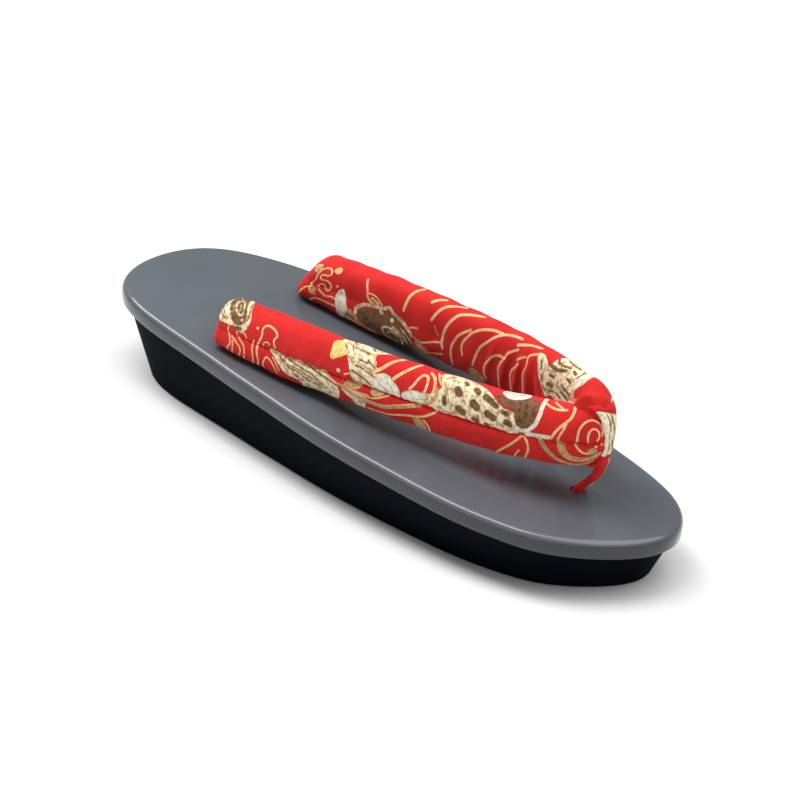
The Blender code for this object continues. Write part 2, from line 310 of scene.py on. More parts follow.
def hole_cutters(through_board):
    """Round cutters on the three holes, plain in the sole, tilted and eased outwards in the board."""
    cutters = []
    for place, (x, y) in HOLES.items():
        radius = FRONT_HOLE_RADIUS if through_board and place == "front" else CORD_RADIUS + GAP
        top = board_top(y) if through_board else CUTTER_TOP
        profile = [(radius, CUTTER_BOTTOM), (radius, top - HOLE_EASE)]
        if through_board:
            profile += [(radius + HOLE_EASE * 0.3, top - HOLE_EASE * 0.35), (radius + HOLE_EASE, top)]
        profile.append((profile[-1][0], top + CUTTER_RISE))
        rings = lathe_rings(x, y, profile, HOLE_SIDES)
        if through_board:
            rings[..., 2] += (TOE_HEIGHT - HEEL_HEIGHT) / LENGTH * (rings[..., 1] - y)
        cutters.append(loft(f"hole_{place}", rings))
    return cutters


def grey_lacquer():
    """Sprayed lacquer under a clear coat: a satin grey whose rim shines in a line.

    Its tone and gloss wander in faint clouds about 40 mm wide, and its skin has an orange-peel of about
    a millimetre. The wall under the rim, below a height that follows the tilted board, is painted a darker
    grey as painted shade, because the light from above reaches that side less.
    """
    finish, tree, shader = new_finish("grey_lacquer", {
        "IOR": 1.5, "Specular IOR Level": 0.2, "Coat Weight": 0.8, "Coat Roughness": 0.1,
    })
    place = add_node(tree, "ShaderNodeTexCoord").outputs["Object"]
    cloud = add_node(tree, "ShaderNodeTexNoise", values={"Scale": 26.0, "Detail": 3.0},
                     links={"Vector": place})
    tone = add_node(tree, "ShaderNodeMapRange",
                    values={"From Min": 0.3, "From Max": 0.7, "To Min": 0.0, "To Max": 1.0},
                    links={"Value": cloud.outputs["Fac"]})
    colour = add_node(tree, "ShaderNodeMix", {"data_type": "RGBA"},
                      {6: linear("#50565c"), 7: linear("#5a6067")},
                      {0: tone.outputs["Result"]})
    # Painted shade: a share that is 1 on the top and 0 on the side wall, from the height over the tilted
    # board
    level = add_node(tree, "ShaderNodeVectorMath", {"operation": "DOT_PRODUCT"},
                     {1: (0.0, (HEEL_HEIGHT - TOE_HEIGHT) / LENGTH, 1.0)}, {0: place})
    middle = (HEEL_HEIGHT + TOE_HEIGHT) / 2
    above_wall_shade = add_node(tree, "ShaderNodeMapRange", {"interpolation_type": "SMOOTHSTEP"},
                      {"From Min": middle - EDGE_RADIUS, "From Max": middle - EDGE_RADIUS / 4,
                       "To Min": 0.0, "To Max": 1.0},
                      {"Value": level.outputs["Value"]})
    # Painted shade: the side wall is mixed to a darker grey (#1d2124) below the rounding
    tone_and_wall_shade = add_node(tree, "ShaderNodeMix", {"data_type": "RGBA"}, {6: linear("#1d2124")},
                       {0: above_wall_shade.outputs["Result"], 7: colour.outputs[2]})
    tree.links.new(tone_and_wall_shade.outputs[2], shader.inputs["Base Color"])
    peel = add_node(tree, "ShaderNodeTexNoise", values={"Scale": 900.0, "Detail": 2.0},
                    links={"Vector": place})
    bump = add_node(tree, "ShaderNodeBump", values={"Strength": 0.12, "Distance": 0.0001},
                    links={"Height": peel.outputs["Fac"]})
    tree.links.new(bump.outputs["Normal"], shader.inputs["Normal"])
    rough = add_node(tree, "ShaderNodeMapRange",
                     values={"From Min": 0.3, "From Max": 0.7, "To Min": 0.32, "To Max": 0.40},
                     links={"Value": cloud.outputs["Fac"]})
    tree.links.new(rough.outputs["Result"], shader.inputs["Roughness"])
    return finish


def make_footbed():
    """Rings from the broken lower edge up the wall and over the round to the flat top."""
    base = -BOARD_THICKNESS
    rings = [inset_ring(EDGE_BREAK * 3, lambda y: board_top(y) + base)]
    for turn in np.radians((0, 30, 60, 90)):
        inset = EDGE_BREAK * (1 - math.sin(turn))
        lift = base + EDGE_BREAK * (1 - math.cos(turn))
        rings.append(inset_ring(inset, lambda y: board_top(y) + lift))
    for turn in np.linspace(0, math.pi / 2, EDGE_STEPS + 1):
        drop = EDGE_RADIUS * (1 - math.sin(turn))
        rings.append(inset_ring(EDGE_RADIUS * (1 - math.cos(turn)), lambda y: board_top(y) - drop))
    rings.append(inset_ring(EDGE_RADIUS + TOP_INSET, board_top))
    footbed = loft("lacquered_board", rings, grey_lacquer())
    cut_away(footbed, hole_cutters(True))
    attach(footbed, "root")
    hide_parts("footbed")


make_footbed()


# Sole: a moulded black rubber block glued under the board and drawn in towards the floor.
# It is flat below, with a well under each hole where the strap's knots sit.
RIM_OVERHANG = 0.0026
SIDE_DRAFT = 0.0054
HEEL_DRAFT = 0.0110
TOE_DRAFT = 0.0067
SOLE_EDGE = 0.0011
SOLE_TOP_INSET = 0.002
WELL_RADIUS = 0.0064
WELL_DEPTH = 0.0100
SOLE_STEPS = 10


def sole_ring(depth, inset, height_of):
    """Ring of the sole's wall at depth 0 (top) to 1 (floor).

    It is the board's outline moved in by the overhang, with its x scaled down by the side draft
    and its y moved by the heel's and the toe's drafts, each times the depth.
    """
    ring = inset_ring(RIM_OVERHANG + inset, height_of)
    half = WIDTH / 2 - RIM_OVERHANG
    x = ring[:, 0] * (1 - depth * SIDE_DRAFT / half)
    start = -LENGTH / 2 + RIM_OVERHANG
    share = (ring[:, 1] - start) / (LENGTH - 2 * RIM_OVERHANG)
    y = ring[:, 1] + depth * (HEEL_DRAFT * (1 - share) - TOE_DRAFT * share)
    return np.stack((x, y, ring[:, 2]), axis=1)


def black_rubber():
    """Moulded rubber with a polished skin: near black, with a weak sheen at a low angle.

    Its skin is faintly uneven, in dimples of about 3 mm.
    """
    finish, tree, shader = new_finish("polished_black_rubber", {
        "Base Color": linear("#04060c"), "IOR": 1.5, "Specular IOR Level": 0.0,
        "Coat Weight": 0.07, "Coat Roughness": 0.2,
    })
    place = add_node(tree, "ShaderNodeTexCoord").outputs["Object"]
    skin = add_node(tree, "ShaderNodeTexNoise", values={"Scale": 340.0, "Detail": 3.0},
                    links={"Vector": place})
    bump = add_node(tree, "ShaderNodeBump", values={"Strength": 0.06, "Distance": 0.0001},
                    links={"Height": skin.outputs["Fac"]})
    tree.links.new(bump.outputs["Normal"], shader.inputs["Normal"])
    rough = add_node(tree, "ShaderNodeMapRange",
                     values={"From Min": 0.3, "From Max": 0.7, "To Min": 0.22, "To Max": 0.34},
                     links={"Value": skin.outputs["Fac"]})
    tree.links.new(rough.outputs["Result"], shader.inputs["Roughness"])
    return finish


def make_sole_body():
    """Rings from the floor, round the lower edge and up the drafted wall to the board."""
    rings = [sole_ring(1.0, SOLE_EDGE * 4, lambda y: np.zeros_like(y))]
    for turn in np.radians((0, 25, 50, 75, 90)):
        height = SOLE_EDGE * (1 - math.cos(turn))
        depth = 1.0 - height / TOE_HEIGHT
        rings.append(sole_ring(depth, SOLE_EDGE * (1 - math.sin(turn)), lambda y: np.full_like(y, height)))
    low = 1.0 - SOLE_EDGE / TOE_HEIGHT
    for rise in np.linspace(0, 1, SOLE_STEPS + 1)[1:]:
        foot = SOLE_EDGE * (1 - rise)
        rings.append(sole_ring(low * (1 - rise), 0.0,
                               lambda y: foot + rise * (board_top(y) - BOARD_THICKNESS - GAP)))
    rings.append(sole_ring(0.0, SOLE_TOP_INSET, lambda y: board_top(y) - BOARD_THICKNESS - GAP))
    sole = loft("sole", rings, black_rubber())
    cutters = hole_cutters(False)
    for place, (x, y) in HOLES.items():
        well = ((WELL_RADIUS, -WELL_DEPTH), (WELL_RADIUS, WELL_DEPTH))
        cutters.append(loft(f"well_{place}", lathe_rings(x, y, well, HOLE_SIDES)))
    cut_away(sole, cutters)
    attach(sole, "root")
    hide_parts("sole_body")


make_sole_body()


# Padded strap: two tubes of printed cotton stuffed with wadding, stood on edge over the board.
# Each is closed by one seam along its outer face, and the two are sewn together at the apex.
BAND_WIDTH = 0.0250
BAND_THICKNESS = 0.0130
BAND_REAR_ROUND = 0.0062
RIGHT_REAR_ROUND = 0.0051
BAND_APEX_ROUND = 0.0052
LEFT_END_SLANT = 0.0057
RIGHT_END_SLANT = 0.0012
SEAM_DEPTH = 0.0006
SEAM_SPREAD = 0.0014
STITCH_DEPTH = 0.0006
STITCH_SPREAD = 0.0004
SEAM_FADE = 0.12
SEAM_LEAST = 0.2
SHOULDER_FROM_TOE = 0.0560
SHOULDER_SPACING = 0.0509
APEX_PAST_HOLE = 0.0044
LOOP_DEPTH = 0.0112
FACE_POWER_BELOW = 0.75
FACE_POWER_ABOVE = 0.85
FACE_POWER_INNER = 0.70
EDGE_POWER = 0.90
END_THICKNESS = 0.03
END_HEIGHT = 0.55
SLANT_REACH = 0.15
ARM_STATIONS = 410
END_STATIONS = 22
BAND_SIDES = 168
COURSE_SAMPLES = 2001
GIRTH_SAMPLES = 4001
MM = 0.001

# Heights of the band's two edges over the board along each arm, the left arm's extra height,
# and how far its faces swell at the foot, all in band widths, then the share of thickness
BAND_COLUMNS = ("along", "lower_edge", "upper_edge", "left_extra", "foot", "fullness")
BAND = (
    (0.00, 0.016, 0.74, 0.06, 0.16, 1.27),
    (0.12, 0.024, 0.905, 0.060, 0.12, 1.10),
    (0.22, 0.120, 1.00, 0.08, 0.06, 1.02),
    (0.33, 0.218, 1.11, 0.085, 0.04, 0.98),
    (0.45, 0.296, 1.21, 0.10, 0.01, 0.96),
    (0.62, 0.385, 1.30, 0.13, 0.00, 0.98),
    (0.80, 0.476, 1.38, 0.16, 0.00, 1.02),
    (0.92, 0.524, 1.44, 0.18, 0.00, 1.10),
    (1.00, 0.548, 1.48, 0.19, 0.00, 1.18),
)


def band_row(along, name):
    """Value of one column of the band at a share of the arm's length."""
    return smooth(along, column(BAND, BAND_COLUMNS, "along"), column(BAND, BAND_COLUMNS, name))


def arm_course(side, stations, ends):
    """Plan of one arm: a curve from its rear hole to the apex, even along its length, and its ends.

    The curve is a parabola pulled towards the shoulder, read at even steps, with a quarter circle
    of stations past each end. Gives the points, the share of the arm at each, and how far the
    section is open there.
    """
    front_x, front_y = HOLES["front"]
    rear = np.array(HOLES["right" if side > 0 else "left"])
    middle = (HOLES["right"][0] + HOLES["left"][0]) / 2
    shoulder_y = LENGTH / 2 - SHOULDER_FROM_TOE
    lean = (shoulder_y - rear[1]) / (front_y - rear[1])
    shoulder = np.array((middle + (front_x - middle) * lean + side * SHOULDER_SPACING / 2, shoulder_y))
    apex = np.array((front_x, front_y + APEX_PAST_HOLE))
    t = np.linspace(0, 1, COURSE_SAMPLES)[:, None]
    fine = (1 - t) ** 2 * rear + 2 * t * (1 - t) * shoulder + t ** 2 * apex
    reach = np.concatenate(([0.0], np.cumsum(np.linalg.norm(np.diff(fine, axis=0), axis=1))))
    t = np.interp(np.linspace(0, reach[-1], stations), reach, t[:, 0])[:, None]
    bend = (1 - t) ** 2 * rear + 2 * t * (1 - t) * shoulder + t ** 2 * apex
    back = (rear - shoulder) / np.linalg.norm(rear - shoulder)
    ahead = (apex - shoulder) / np.linalg.norm(apex - shoulder)
    turn = np.linspace(0, math.pi / 2, ends + 1)[1:]
    past = np.sin(turn)[:, None]
    rear_round = RIGHT_REAR_ROUND if side > 0 else BAND_REAR_ROUND
    path = np.concatenate((rear + back * rear_round * past[::-1], bend,
                           apex + ahead * BAND_APEX_ROUND * past))
    along = np.concatenate((np.zeros(ends), t[:, 0], np.ones(ends)))
    close = np.maximum(np.cos(turn), END_THICKNESS)
    return path, along, np.concatenate((close[::-1], np.ones(stations), close))


def band_surface(side, turn, stations, ends):
    """Points of one arm, stations by turns: turn 0 is the middle of its outer face, a quarter its top.

    A section is an oval: half the thickness times a power of the cosine goes across the course, and
    half the height times a power of the sine goes up. The foot swells below, two narrow bells are
    taken off along the seam, both ends close to a flat edge, and the rear end slants.
    """
    path, along, open_share = arm_course(side, stations, ends)
    lower = BAND_WIDTH * band_row(along, "lower_edge")[:, None]
    upper = BAND_WIDTH * band_row(along, "upper_edge")[:, None]
    slant = RIGHT_END_SLANT
    if side < 0:
        upper = upper + BAND_WIDTH * band_row(along, "left_extra")[:, None]
        slant = LEFT_END_SLANT
    foot = BAND_WIDTH * band_row(along, "foot")[:, None]
    half = BAND_THICKNESS / 2 * band_row(along, "fullness")[:, None]
    face_power = np.where(turn > math.pi, FACE_POWER_BELOW, FACE_POWER_ABOVE)
    face_power = np.where(np.cos(turn) > 0, face_power, FACE_POWER_INNER)
    wide = np.sign(np.cos(turn)) * np.abs(np.cos(turn)) ** face_power
    high = np.sign(np.sin(turn)) * np.abs(np.sin(turn)) ** EDGE_POWER
    swell = np.maximum(0.0, -high) * wide
    from_seam = BAND_WIDTH / 2 * np.where(np.cos(turn) > 0, high, 1.0)
    seam = SEAM_DEPTH * np.exp(-((from_seam / SEAM_SPREAD) ** 2))
    seam = seam + STITCH_DEPTH * np.exp(-((from_seam / STITCH_SPREAD) ** 2))
    seam = seam * (SEAM_LEAST + (1 - SEAM_LEAST) * np.clip(along / SEAM_FADE, 0, 1))[:, None]
    shut = open_share[:, None]
    run = np.gradient(path, axis=0)
    run = run / np.linalg.norm(run, axis=1)[:, None]
    across = (half * wide + foot * swell - seam) * shut * side
    squeeze = END_HEIGHT + (1 - END_HEIGHT) * shut
    rests = (high < 0) & (along[:, None] < 0.5)
    rise = high * (upper - lower) / 2 * np.where(rests, 1.0, squeeze)
    back = slant * high * np.maximum(0.0, 1 - along[:, None] / SLANT_REACH)
    x = path[:, :1] + across * run[:, 1:] + back * run[:, :1]
    y = path[:, 1:] - across * run[:, :1] + back * run[:, 1:]
    z = board_top(y) + (upper + lower) / 2 + rise
    return np.stack((x, y, z), axis=2)


def even_turns(side, count):
    """Turns that step evenly round the section at the middle of the arm, and that section's girth."""
    turn = np.linspace(0, 2 * math.pi, GIRTH_SAMPLES)
    section = band_surface(side, turn[:-1], 3, 1)[2]
    step = np.linalg.norm(np.diff(np.concatenate((section, section[:1])), axis=0), axis=1)
    reach = np.concatenate(([0.0], np.cumsum(step)))
    even = np.arange(count) / count * reach[-1]
    return np.interp(even, reach, turn), even, reach[-1]


def outward(points, side):
    """Unit normals of a closed tube of points, from its two directions."""
    along = np.gradient(points, axis=0)
    around = np.roll(points, -1, axis=1) - np.roll(points, 1, axis=1)
    normal = np.cross(around, along) * side
    return normal / np.maximum(np.linalg.norm(normal, axis=2), 1e-12)[..., None]


# Print: traditional carp, scales, waves and eddies in gold, cream and brown on the red cotton.
# It is screened on the flat cloth, so each mark is drawn in millimetres of cloth, along the arm
# from its rear tip and up from the middle of the face, and later marks cover earlier ones.
TRACE_STEP = 0.35
FIELD_REACH = 2.0
INK_DRAW_IN = 0.3
INK_OVERLAP = 0.06
HIDDEN_FACE_HALF = 11.0

# Inks from the lowest layer up, with the tones that the screen leaves inside each
INK_COLUMNS = ("ink", "light", "dark")
INKS = (
    ("tan", "#cfa873", "#ab8052"),
    ("gold", "#fbc590", "#eda873"),
    ("cream", "#f4e3c0", "#b0985e"),
    ("white", "#f4ecda", "#cfc7a8"),
    ("yellow", "#eccf7e", "#d0ab66"),
    ("brown", "#80593a", "#573d24"),
)

# Marks of the seamed outer face: ink, width of the line in mm or 0 for a filled outline, and
# points (along, up) in mm. A single point is a round dot.
OUTER_PRINT = (
    ("cream", 0, ((-3, 19), (-3, 6), (2, 5), (6, 4.3), (10, 4.2), (13, 4.4), (15, 3.1), (16.6, 3.1),
                  (18.4, 5), (19, 7.5), (18.6, 9.6), (17, 11.5), (15.5, 13.2), (13.5, 15.5), (11, 18.5),
                  (8, 22), (3, 22))),
    ("brown", 0, ((2.5, 19.5), (4.5, 13.5), (7, 10.5), (9.8, 7.2), (12, 5.7), (14.6, 5.5), (16.2, 6.8),
                  (16.8, 8.5), (15.6, 10.6), (13, 13.2), (10, 16.5), (7.5, 20))),
    ("cream", 1.1, ((10.6, 10.2), (8.4, 12.2), (6.6, 14.4), (6.9, 15.8), (8.9, 15.2), (11.2, 13.4),
                    (13, 11.4), (13.7, 9.8), (12.4, 9.6), (10.4, 11))),
    ("cream", 0.8, ((9.2, 13.6), (10.4, 12.6), (11.6, 11.2))),
    ("cream", 1.7, ((15, 8),)),
    ("cream", 0.8, ((4, 18.5), (7.5, 14.8), (7, 12.4), (8.6, 10.4), (8, 9.2), (9.4, 8))),
    ("brown", 0.7, ((1.2, 15), (2.6, 12.6), (4.6, 10.8))),
    ("brown", 0.7, ((1.5, 11.6), (3.8, 9.6), (6, 8.4))),
    ("brown", 0.7, ((2.8, 8), (5, 7.4), (7, 6.4))),
    ("tan", 0.7, ((0.6, 18), (2, 15.4), (4.4, 12.6))),
    ("brown", 0.7, ((10.5, 19.5), (13.2, 15.2), (16, 11.8), (17.3, 9), (17, 6.6))),
    ("brown", 0, ((12.4, 3.3), (16.2, 3.8), (16, 5), (13, 4.6))),
    ("gold", 1.0, ((16.8, 3), (17.8, 3.4), (19.4, 1.6))),
    ("gold", 1.1, ((25.3, 2.7), (25.9, 5), (25.4, 7.5), (25.9, 9), (27.5, 9.6), (29.5, 9.3), (31.5, 8.5),
                   (32.8, 7), (32, 5.6), (31.9, 4.4), (33, 2.5))),
    ("gold", 0.9, ((27.1, 1), (27.6, 2.7), (29, 3.2), (30.1, 2.6))),
    ("gold", 1.0, ((28.6, 1.1),)),
    ("gold", 1.5, ((23, 7.3),)),
    ("gold", 1.0, ((22.9, 2), (22.2, 0), (22.8, -2.5), (23.8, -5), (23.8, -8), (22, -12))),
    ("gold", 1.1, ((25.3, 2), (24.3, 0.5), (24.9, -1.5), (25.6, -4), (26.2, -6.5), (25.4, -9.5), (23, -13))),
    ("gold", 0.9, ((10.1, 3.8), (10.2, 1), (10.9, -0.8), (12.2, -2.5), (12.8, -4.5), (12, -6.5),
                   (10.6, -9.5), (8, -13))),
    ("gold", 0.9, ((14.3, 2.8), (14.8, 0.3), (17, -1.5), (19, -3.2), (19.7, -5.5), (19.6, -8),
                   (18.3, -10.8), (15, -14))),
    ("gold", 0.9, ((12.5, -1.2), (15, -2.5), (17.2, -4), (17.9, -6), (17.2, -8.4), (15.6, -10.4))),
    ("gold", 0.9, ((13.7, -2.8), (14.4, -5), (14.3, -7.5), (12.6, -11), (10, -14))),
    ("gold", 0.9, ((28.4, -11), (28.7, -6), (29.8, -3.4), (31.6, -4), (33.5, -6), (34.9, -8.4))),
    ("gold", 0.9, ((32.4, -2.5), (34.2, -4.2), (36, -6.8))),
    ("cream", 0, ((29.6, 0), (33, 0.9), (40, 0.5), (48, 0.4), (55.5, 0.3), (59, -1.9), (62, -3.6),
                  (63.2, -6.4), (62.2, -9.6), (59.5, -13), (55, -16), (46, -15), (45.5, -11),
                  (46, -8.8), (44, -7.4), (40, -7), (37.6, -6), (35.6, -4.2), (33, -2))),
    ("tan", 1.2, ((36, -1.9), (40, -2.8), (44, -3), (48, -4.2), (53, -4.9), (57, -6.4))),
    ("brown", 0.8, ((35.6, -1.3), (38.6, -2.1))),
    ("brown", 0.8, ((39.4, -0.9), (43, -1.6), (46.4, -2.3))),
    ("brown", 0.9, ((48.6, -0.5), (52, -1.4), (55.2, -2.1), (58.6, -2.9), (61.6, -3.9))),
    ("brown", 0.8, ((46.8, -2.6), (49.4, -2.9), (51.4, -3.4))),
    ("brown", 0.8, ((39.6, -3.2), (42.6, -4.2))),
    ("brown", 0.8, ((43.2, -3.7), (46.4, -4.8))),
    ("brown", 0.8, ((50.8, -3.2), (53.8, -4.4))),
    ("brown", 0.9, ((46.8, -5.2), (49.6, -6.4))),
    ("brown", 0.9, ((51.8, -6), (55.4, -7.2))),
    ("brown", 0.8, ((42.4, -5.4), (44.8, -6.2))),
    ("brown", 0.8, ((48.4, -9), (50.6, -11.6))),
    ("tan", 0.9, ((52, -9.4), (54, -12))),
    ("gold", 1.5, ((55.4, -0.4),)),
    ("gold", 1.0, ((56.5, -0.9), (60, -2.4), (64, -3.2), (68, -3.9), (73, -4.4), (78, -3.8), (82, -2),
                   (84.2, -0.7))),
    ("yellow", 0, ((56.4, 13.9), (57, 10), (57.5, 7.4), (58.6, 6.5), (60.5, 7.6), (62.8, 9.1), (64, 10.4),
                   (63, 12.6), (60.5, 14.2), (58, 15))),
    ("cream", 0, ((58, 15.2), (60.5, 13.4), (63, 11.6), (66, 10.6), (70, 10.3), (73.6, 10.3), (76.6, 8.9),
                  (76.8, 10.4), (74.4, 12.4), (75.6, 15), (79, 17.4), (78, 20), (62, 20), (58, 17.6))),
    ("tan", 1.5, ((61, 15), (66, 13.6), (71, 13), (74, 13.4))),
    ("brown", 0.7, ((60.4, 14.2), (62.9, 11.9))),
    ("brown", 0.7, ((64, 13.7), (65.9, 11.9))),
    ("brown", 0.7, ((68.4, 13.7), (72.2, 12.7))),
    ("brown", 0.9, ((62, 17.6), (64.4, 15.4))),
    ("brown", 0.9, ((70.6, 17), (73, 15.4))),
    ("cream", 0, ((64, 10.4), (65.6, 7.5), (67.1, 4.5), (68, 2.4), (69.6, 0.7), (76, 0.5), (83, 0.5),
                  (88.8, 0.5), (88.8, 3.4), (86.8, 5.6), (84.2, 7.3), (81.6, 7.9), (79.4, 7.3),
                  (77.4, 6.6), (76.4, 8.8), (73, 10.3), (69, 10.7))),
    ("cream", 0.7, ((66.2, 6.6), (70, 6.2), (74, 4.8), (77.4, 3.4))),
    ("tan", 0.8, ((67.8, 8.6), (71, 8.4), (74.6, 7.6))),
    ("brown", 0.8, ((73, 10.5), (75, 9.4), (77, 8.3))),
    ("brown", 0.8, ((70, 9.6), (73.4, 9.3))),
    ("brown", 0.8, ((68.8, 7.3), (72.4, 6.9))),
    ("brown", 0.8, ((73.6, 6.5), (76.4, 5.6))),
    ("brown", 1.0, ((67.9, 4.9), (71, 4), (74, 3.2), (76.6, 1.8))),
    ("brown", 0.8, ((68.9, 1), (71.6, 0.9))),
    ("brown", 0.8, ((77.4, 0.7), (80, 1.1), (83.6, 0.9))),
    ("tan", 0.8, ((79, 4.4), (82, 3.8), (85, 3.2))),
    ("gold", 2.0, ((62.2, 3.3),)),
    ("gold", 0.9, ((65, 2.6), (67, 3.6), (68.2, 3.5))),
    ("tan", 0, ((66.6, -0.2), (72.2, -0.2), (71.4, -2.2), (68, -3.2), (65, -2.6))),
    ("tan", 0, ((76.4, -0.2), (82.8, -0.2), (81, -2), (77.4, -2.8))),
    ("gold", 0.8, ((66, -3.1), (71, -3.6), (76, -3.4))),
    ("gold", 1.7, ((76.6, 7), (79.5, 9.2), (81.5, 11.5), (83.4, 13.9), (85, 16.4))),
    ("gold", 1.0, ((74.2, 13.8), (75, 12), (76, 10), (77.6, 8.2))),
    ("gold", 1.5, ((84.8, 6.2), (87, 8.8), (89.3, 11.3), (91, 13.5), (92.4, 16))),
    ("gold", 1.3, ((92.4, 5.3), (93.8, 7.5), (95, 10), (96.5, 11.8), (98, 11.5), (98.7, 9.5), (98.7, 7),
                   (98.2, 5.4))),
    ("gold", 1.3, ((98.2, 13.6), (100.4, 12), (101.6, 9.8), (101.8, 7.5), (101.3, 5.4))),
    ("gold", 1.0, ((100.6, 14.9), (102.4, 12), (104.4, 10))),
    ("tan", 1.8, ((64, -3.2), (70, -5.1), (76, -6.1), (82, -5.8), (87, -4.1), (91, -2.7), (94.5, -1.3),
                  (97, -0.4))),
    ("gold", 0.7, ((66, -3.4), (72, -5), (78, -5.5), (83, -4.9), (88, -3.1), (92, -1.8), (95.4, -0.4))),
    ("gold", 1.2, ((75, -9.6), (79, -9.5), (83, -8.8), (88, -7.4), (93, -6), (98, -4.6), (101, -3),
                   (103, -1.4), (104.4, 0))),
    ("cream", 0, ((64, -4.3), (70, -5.9), (74.4, -6.9), (74, -9.6), (71.5, -13.4), (68, -16), (65.6, -15),
                  (69.2, -10.4), (68.6, -7.6), (66, -6))),
    ("tan", 0, ((94.8, -6), (97.6, -5.7), (99.6, -7.4), (100, -9.8), (98.6, -12.4), (95.8, -14.6),
                (93.6, -13.4), (95.2, -10.6), (94.8, -8))),
    ("gold", 1.1, ((99.2, -5.7), (101, -8), (100.8, -11), (98.6, -14.6))),
    ("white", 0, ((79, 1.2), (77.6, 3.4), (78.6, 6.4), (80.4, 7.5), (83, 7.3), (86, 5.8), (88.6, 3.4),
                  (88.8, 0.6), (84, 0.6))),
    ("tan", 0.8, ((79.4, 3.8), (82, 2.8), (84.6, 1.4))),
    ("cream", 0, ((89.6, 2.6), (91.4, 4.6), (95, 5.4), (99, 5.7), (102.4, 7), (104.4, 9.6), (103.4, 12),
                  (101.6, 14.4), (103, 16), (108, 16.6), (114, 16.4), (118, 15), (121, 13.4), (124.6, 11),
                  (128, 8.8), (131, 8.2), (133.6, 8), (135.6, 3), (134, 0.8), (126, 0.5), (112, 0.5),
                  (104, 0.5), (101.6, 1.6), (99, 1.4), (95, 0.6), (90, 0.5))),
    ("white", 0, ((90.4, 1), (90.2, 3), (92.4, 4.6), (96, 5), (99.4, 5), (98.6, 2.4), (95, 1.2))),
    ("tan", 0.8, ((95.4, 2.4), (98, 3), (100.4, 4))),
    ("tan", 1.6, ((101.6, 3), (103.4, 6), (103, 8.4))),
    ("tan", 1.4, ((105, 13.4), (106.6, 14.6))),
    ("tan", 1.0, ((107.2, 1.6), (110.4, 1.4))),
    ("brown", 1.9, ((112, 14.2), (112.8, 13.4))),
    ("brown", 2.9, ((110.4, 10.4), (111.6, 9.4))),
    ("brown", 2.0, ((106.4, 6.4), (106.8, 4.4))),
    ("brown", 2.9, ((112.4, 4.2), (114, 3.4))),
    ("brown", 2.4, ((116.8, 12.6), (117.8, 11.8))),
    ("brown", 3.0, ((117.2, 7.6), (118.8, 6.6))),
    ("brown", 2.7, ((121, 10.9), (123, 10.2), (125.6, 9.1))),
    ("brown", 2.8, ((123, 5.5), (125.4, 4.6))),
    ("brown", 1.9, ((118.2, 2.1), (119.8, 1.7))),
    ("brown", 1.6, ((122.8, 1.4), (124, 1.1))),
    ("brown", 2.0, ((128.4, 7.6), (130, 7))),
    ("brown", 2.5, ((130.2, 4.4), (131.6, 3.9))),
    ("tan", 1.0, ((105.2, 10.8), (106.8, 9.4))),
    ("tan", 1.1, ((113.8, 7.6), (114.6, 6.4))),
    ("tan", 1.0, ((119.6, 4), (120.4, 2.6))),
    ("brown", 0, ((123.6, 13.4), (127, 12.4), (131, 12.4), (135, 14), (138, 15.2), (139.5, 12.6),
                  (139.5, 8.6), (138.9, 5.8), (137.4, 4), (135.4, 3.4), (133.6, 4.4), (132.6, 6.4),
                  (131.8, 8.6), (128.6, 9.5), (126, 10.9))),
    ("white", 0, ((125.6, 15), (127.6, 13), (131, 12.5), (134.4, 13.6), (136, 16), (133, 18.6), (127, 18))),
    ("tan", 0.9, ((126, 16), (130, 15.2), (134.6, 16.4))),
    ("white", 1.7, ((141.4, 20), (141.2, 16), (141, 12.6), (140.6, 8.6), (139.6, 5.4), (137.6, 3.1),
                    (135.2, 2.4), (133.1, 3.4))),
    ("cream", 1.0, ((133.1, 3.4), (131.8, 5.7), (131, 7.9), (128, 8.5), (125, 10.4), (121, 12.8),
                     (117, 15))),
    ("white", 2.2, ((137.4, 1.4), (141, 1.5), (144.4, 1.6))),
    ("gold", 1.1, ((141.5, 14.2), (144, 12.4), (147, 11.5), (149.3, 11.6))),
    ("gold", 0.9, ((145, 15), (146.4, 13.2), (147.8, 12.2))),
    ("gold", 1.2, ((151.8, 17), (151.7, 13), (151.5, 11), (150.7, 9), (148.5, 6.8), (146.5, 4.2),
                   (145.2, 1.2))),
    ("gold", 1.0, ((149.6, 7.6), (148.8, 5), (147.7, 2.5), (147.5, 0.3))),
    ("gold", 1.0, ((153.2, 0.4), (153.1, 3), (153.6, 6), (155, 8), (157, 8.7), (159, 7.8), (160.2, 6),
                   (160.2, 3.4))),
    ("gold", 0.9, ((156.2, 0.8), (155.9, 3), (156.3, 5), (157.3, 5.9), (158.5, 5.2), (159, 3.5),
                   (158.5, 1.5))),
    ("gold", 1.0, ((152.6, -0.6), (153.5, -2.2), (155, -3.8), (156.6, -4.3))),
    ("tan", 3.0, ((157.5, -3.3),)),
    ("gold", 1.2, ((158.4, -1.6),)),
    ("gold", 1.2, ((160.4, -1.2),)),
    ("gold", 1.2, ((135.8, -0.4), (134, -2.7), (131.5, -5.5), (128.5, -8.5), (126.5, -11.5), (126, -15))),
    ("gold", 1.1, ((136.5, -0.3), (138, -3), (138.3, -6), (137.3, -9.5), (136.5, -14))),
    ("gold", 0.9, ((135.2, -6.5), (133.8, -9.5), (133, -13))),
    ("tan", 1.9, ((142, -0.4), (143.5, -3), (145.5, -5.5), (148, -7.8), (151, -9.2), (154, -9.6),
                  (158, -8.6))),
    ("tan", 2.1, ((148, -0.4), (148.8, -3), (150.5, -5.5), (153, -6.8), (156.5, -6.6), (160, -5))),
    ("gold", 0.6, ((149.4, -0.8), (150.2, -3.2), (151.8, -5.2), (154.4, -5.9))),
)

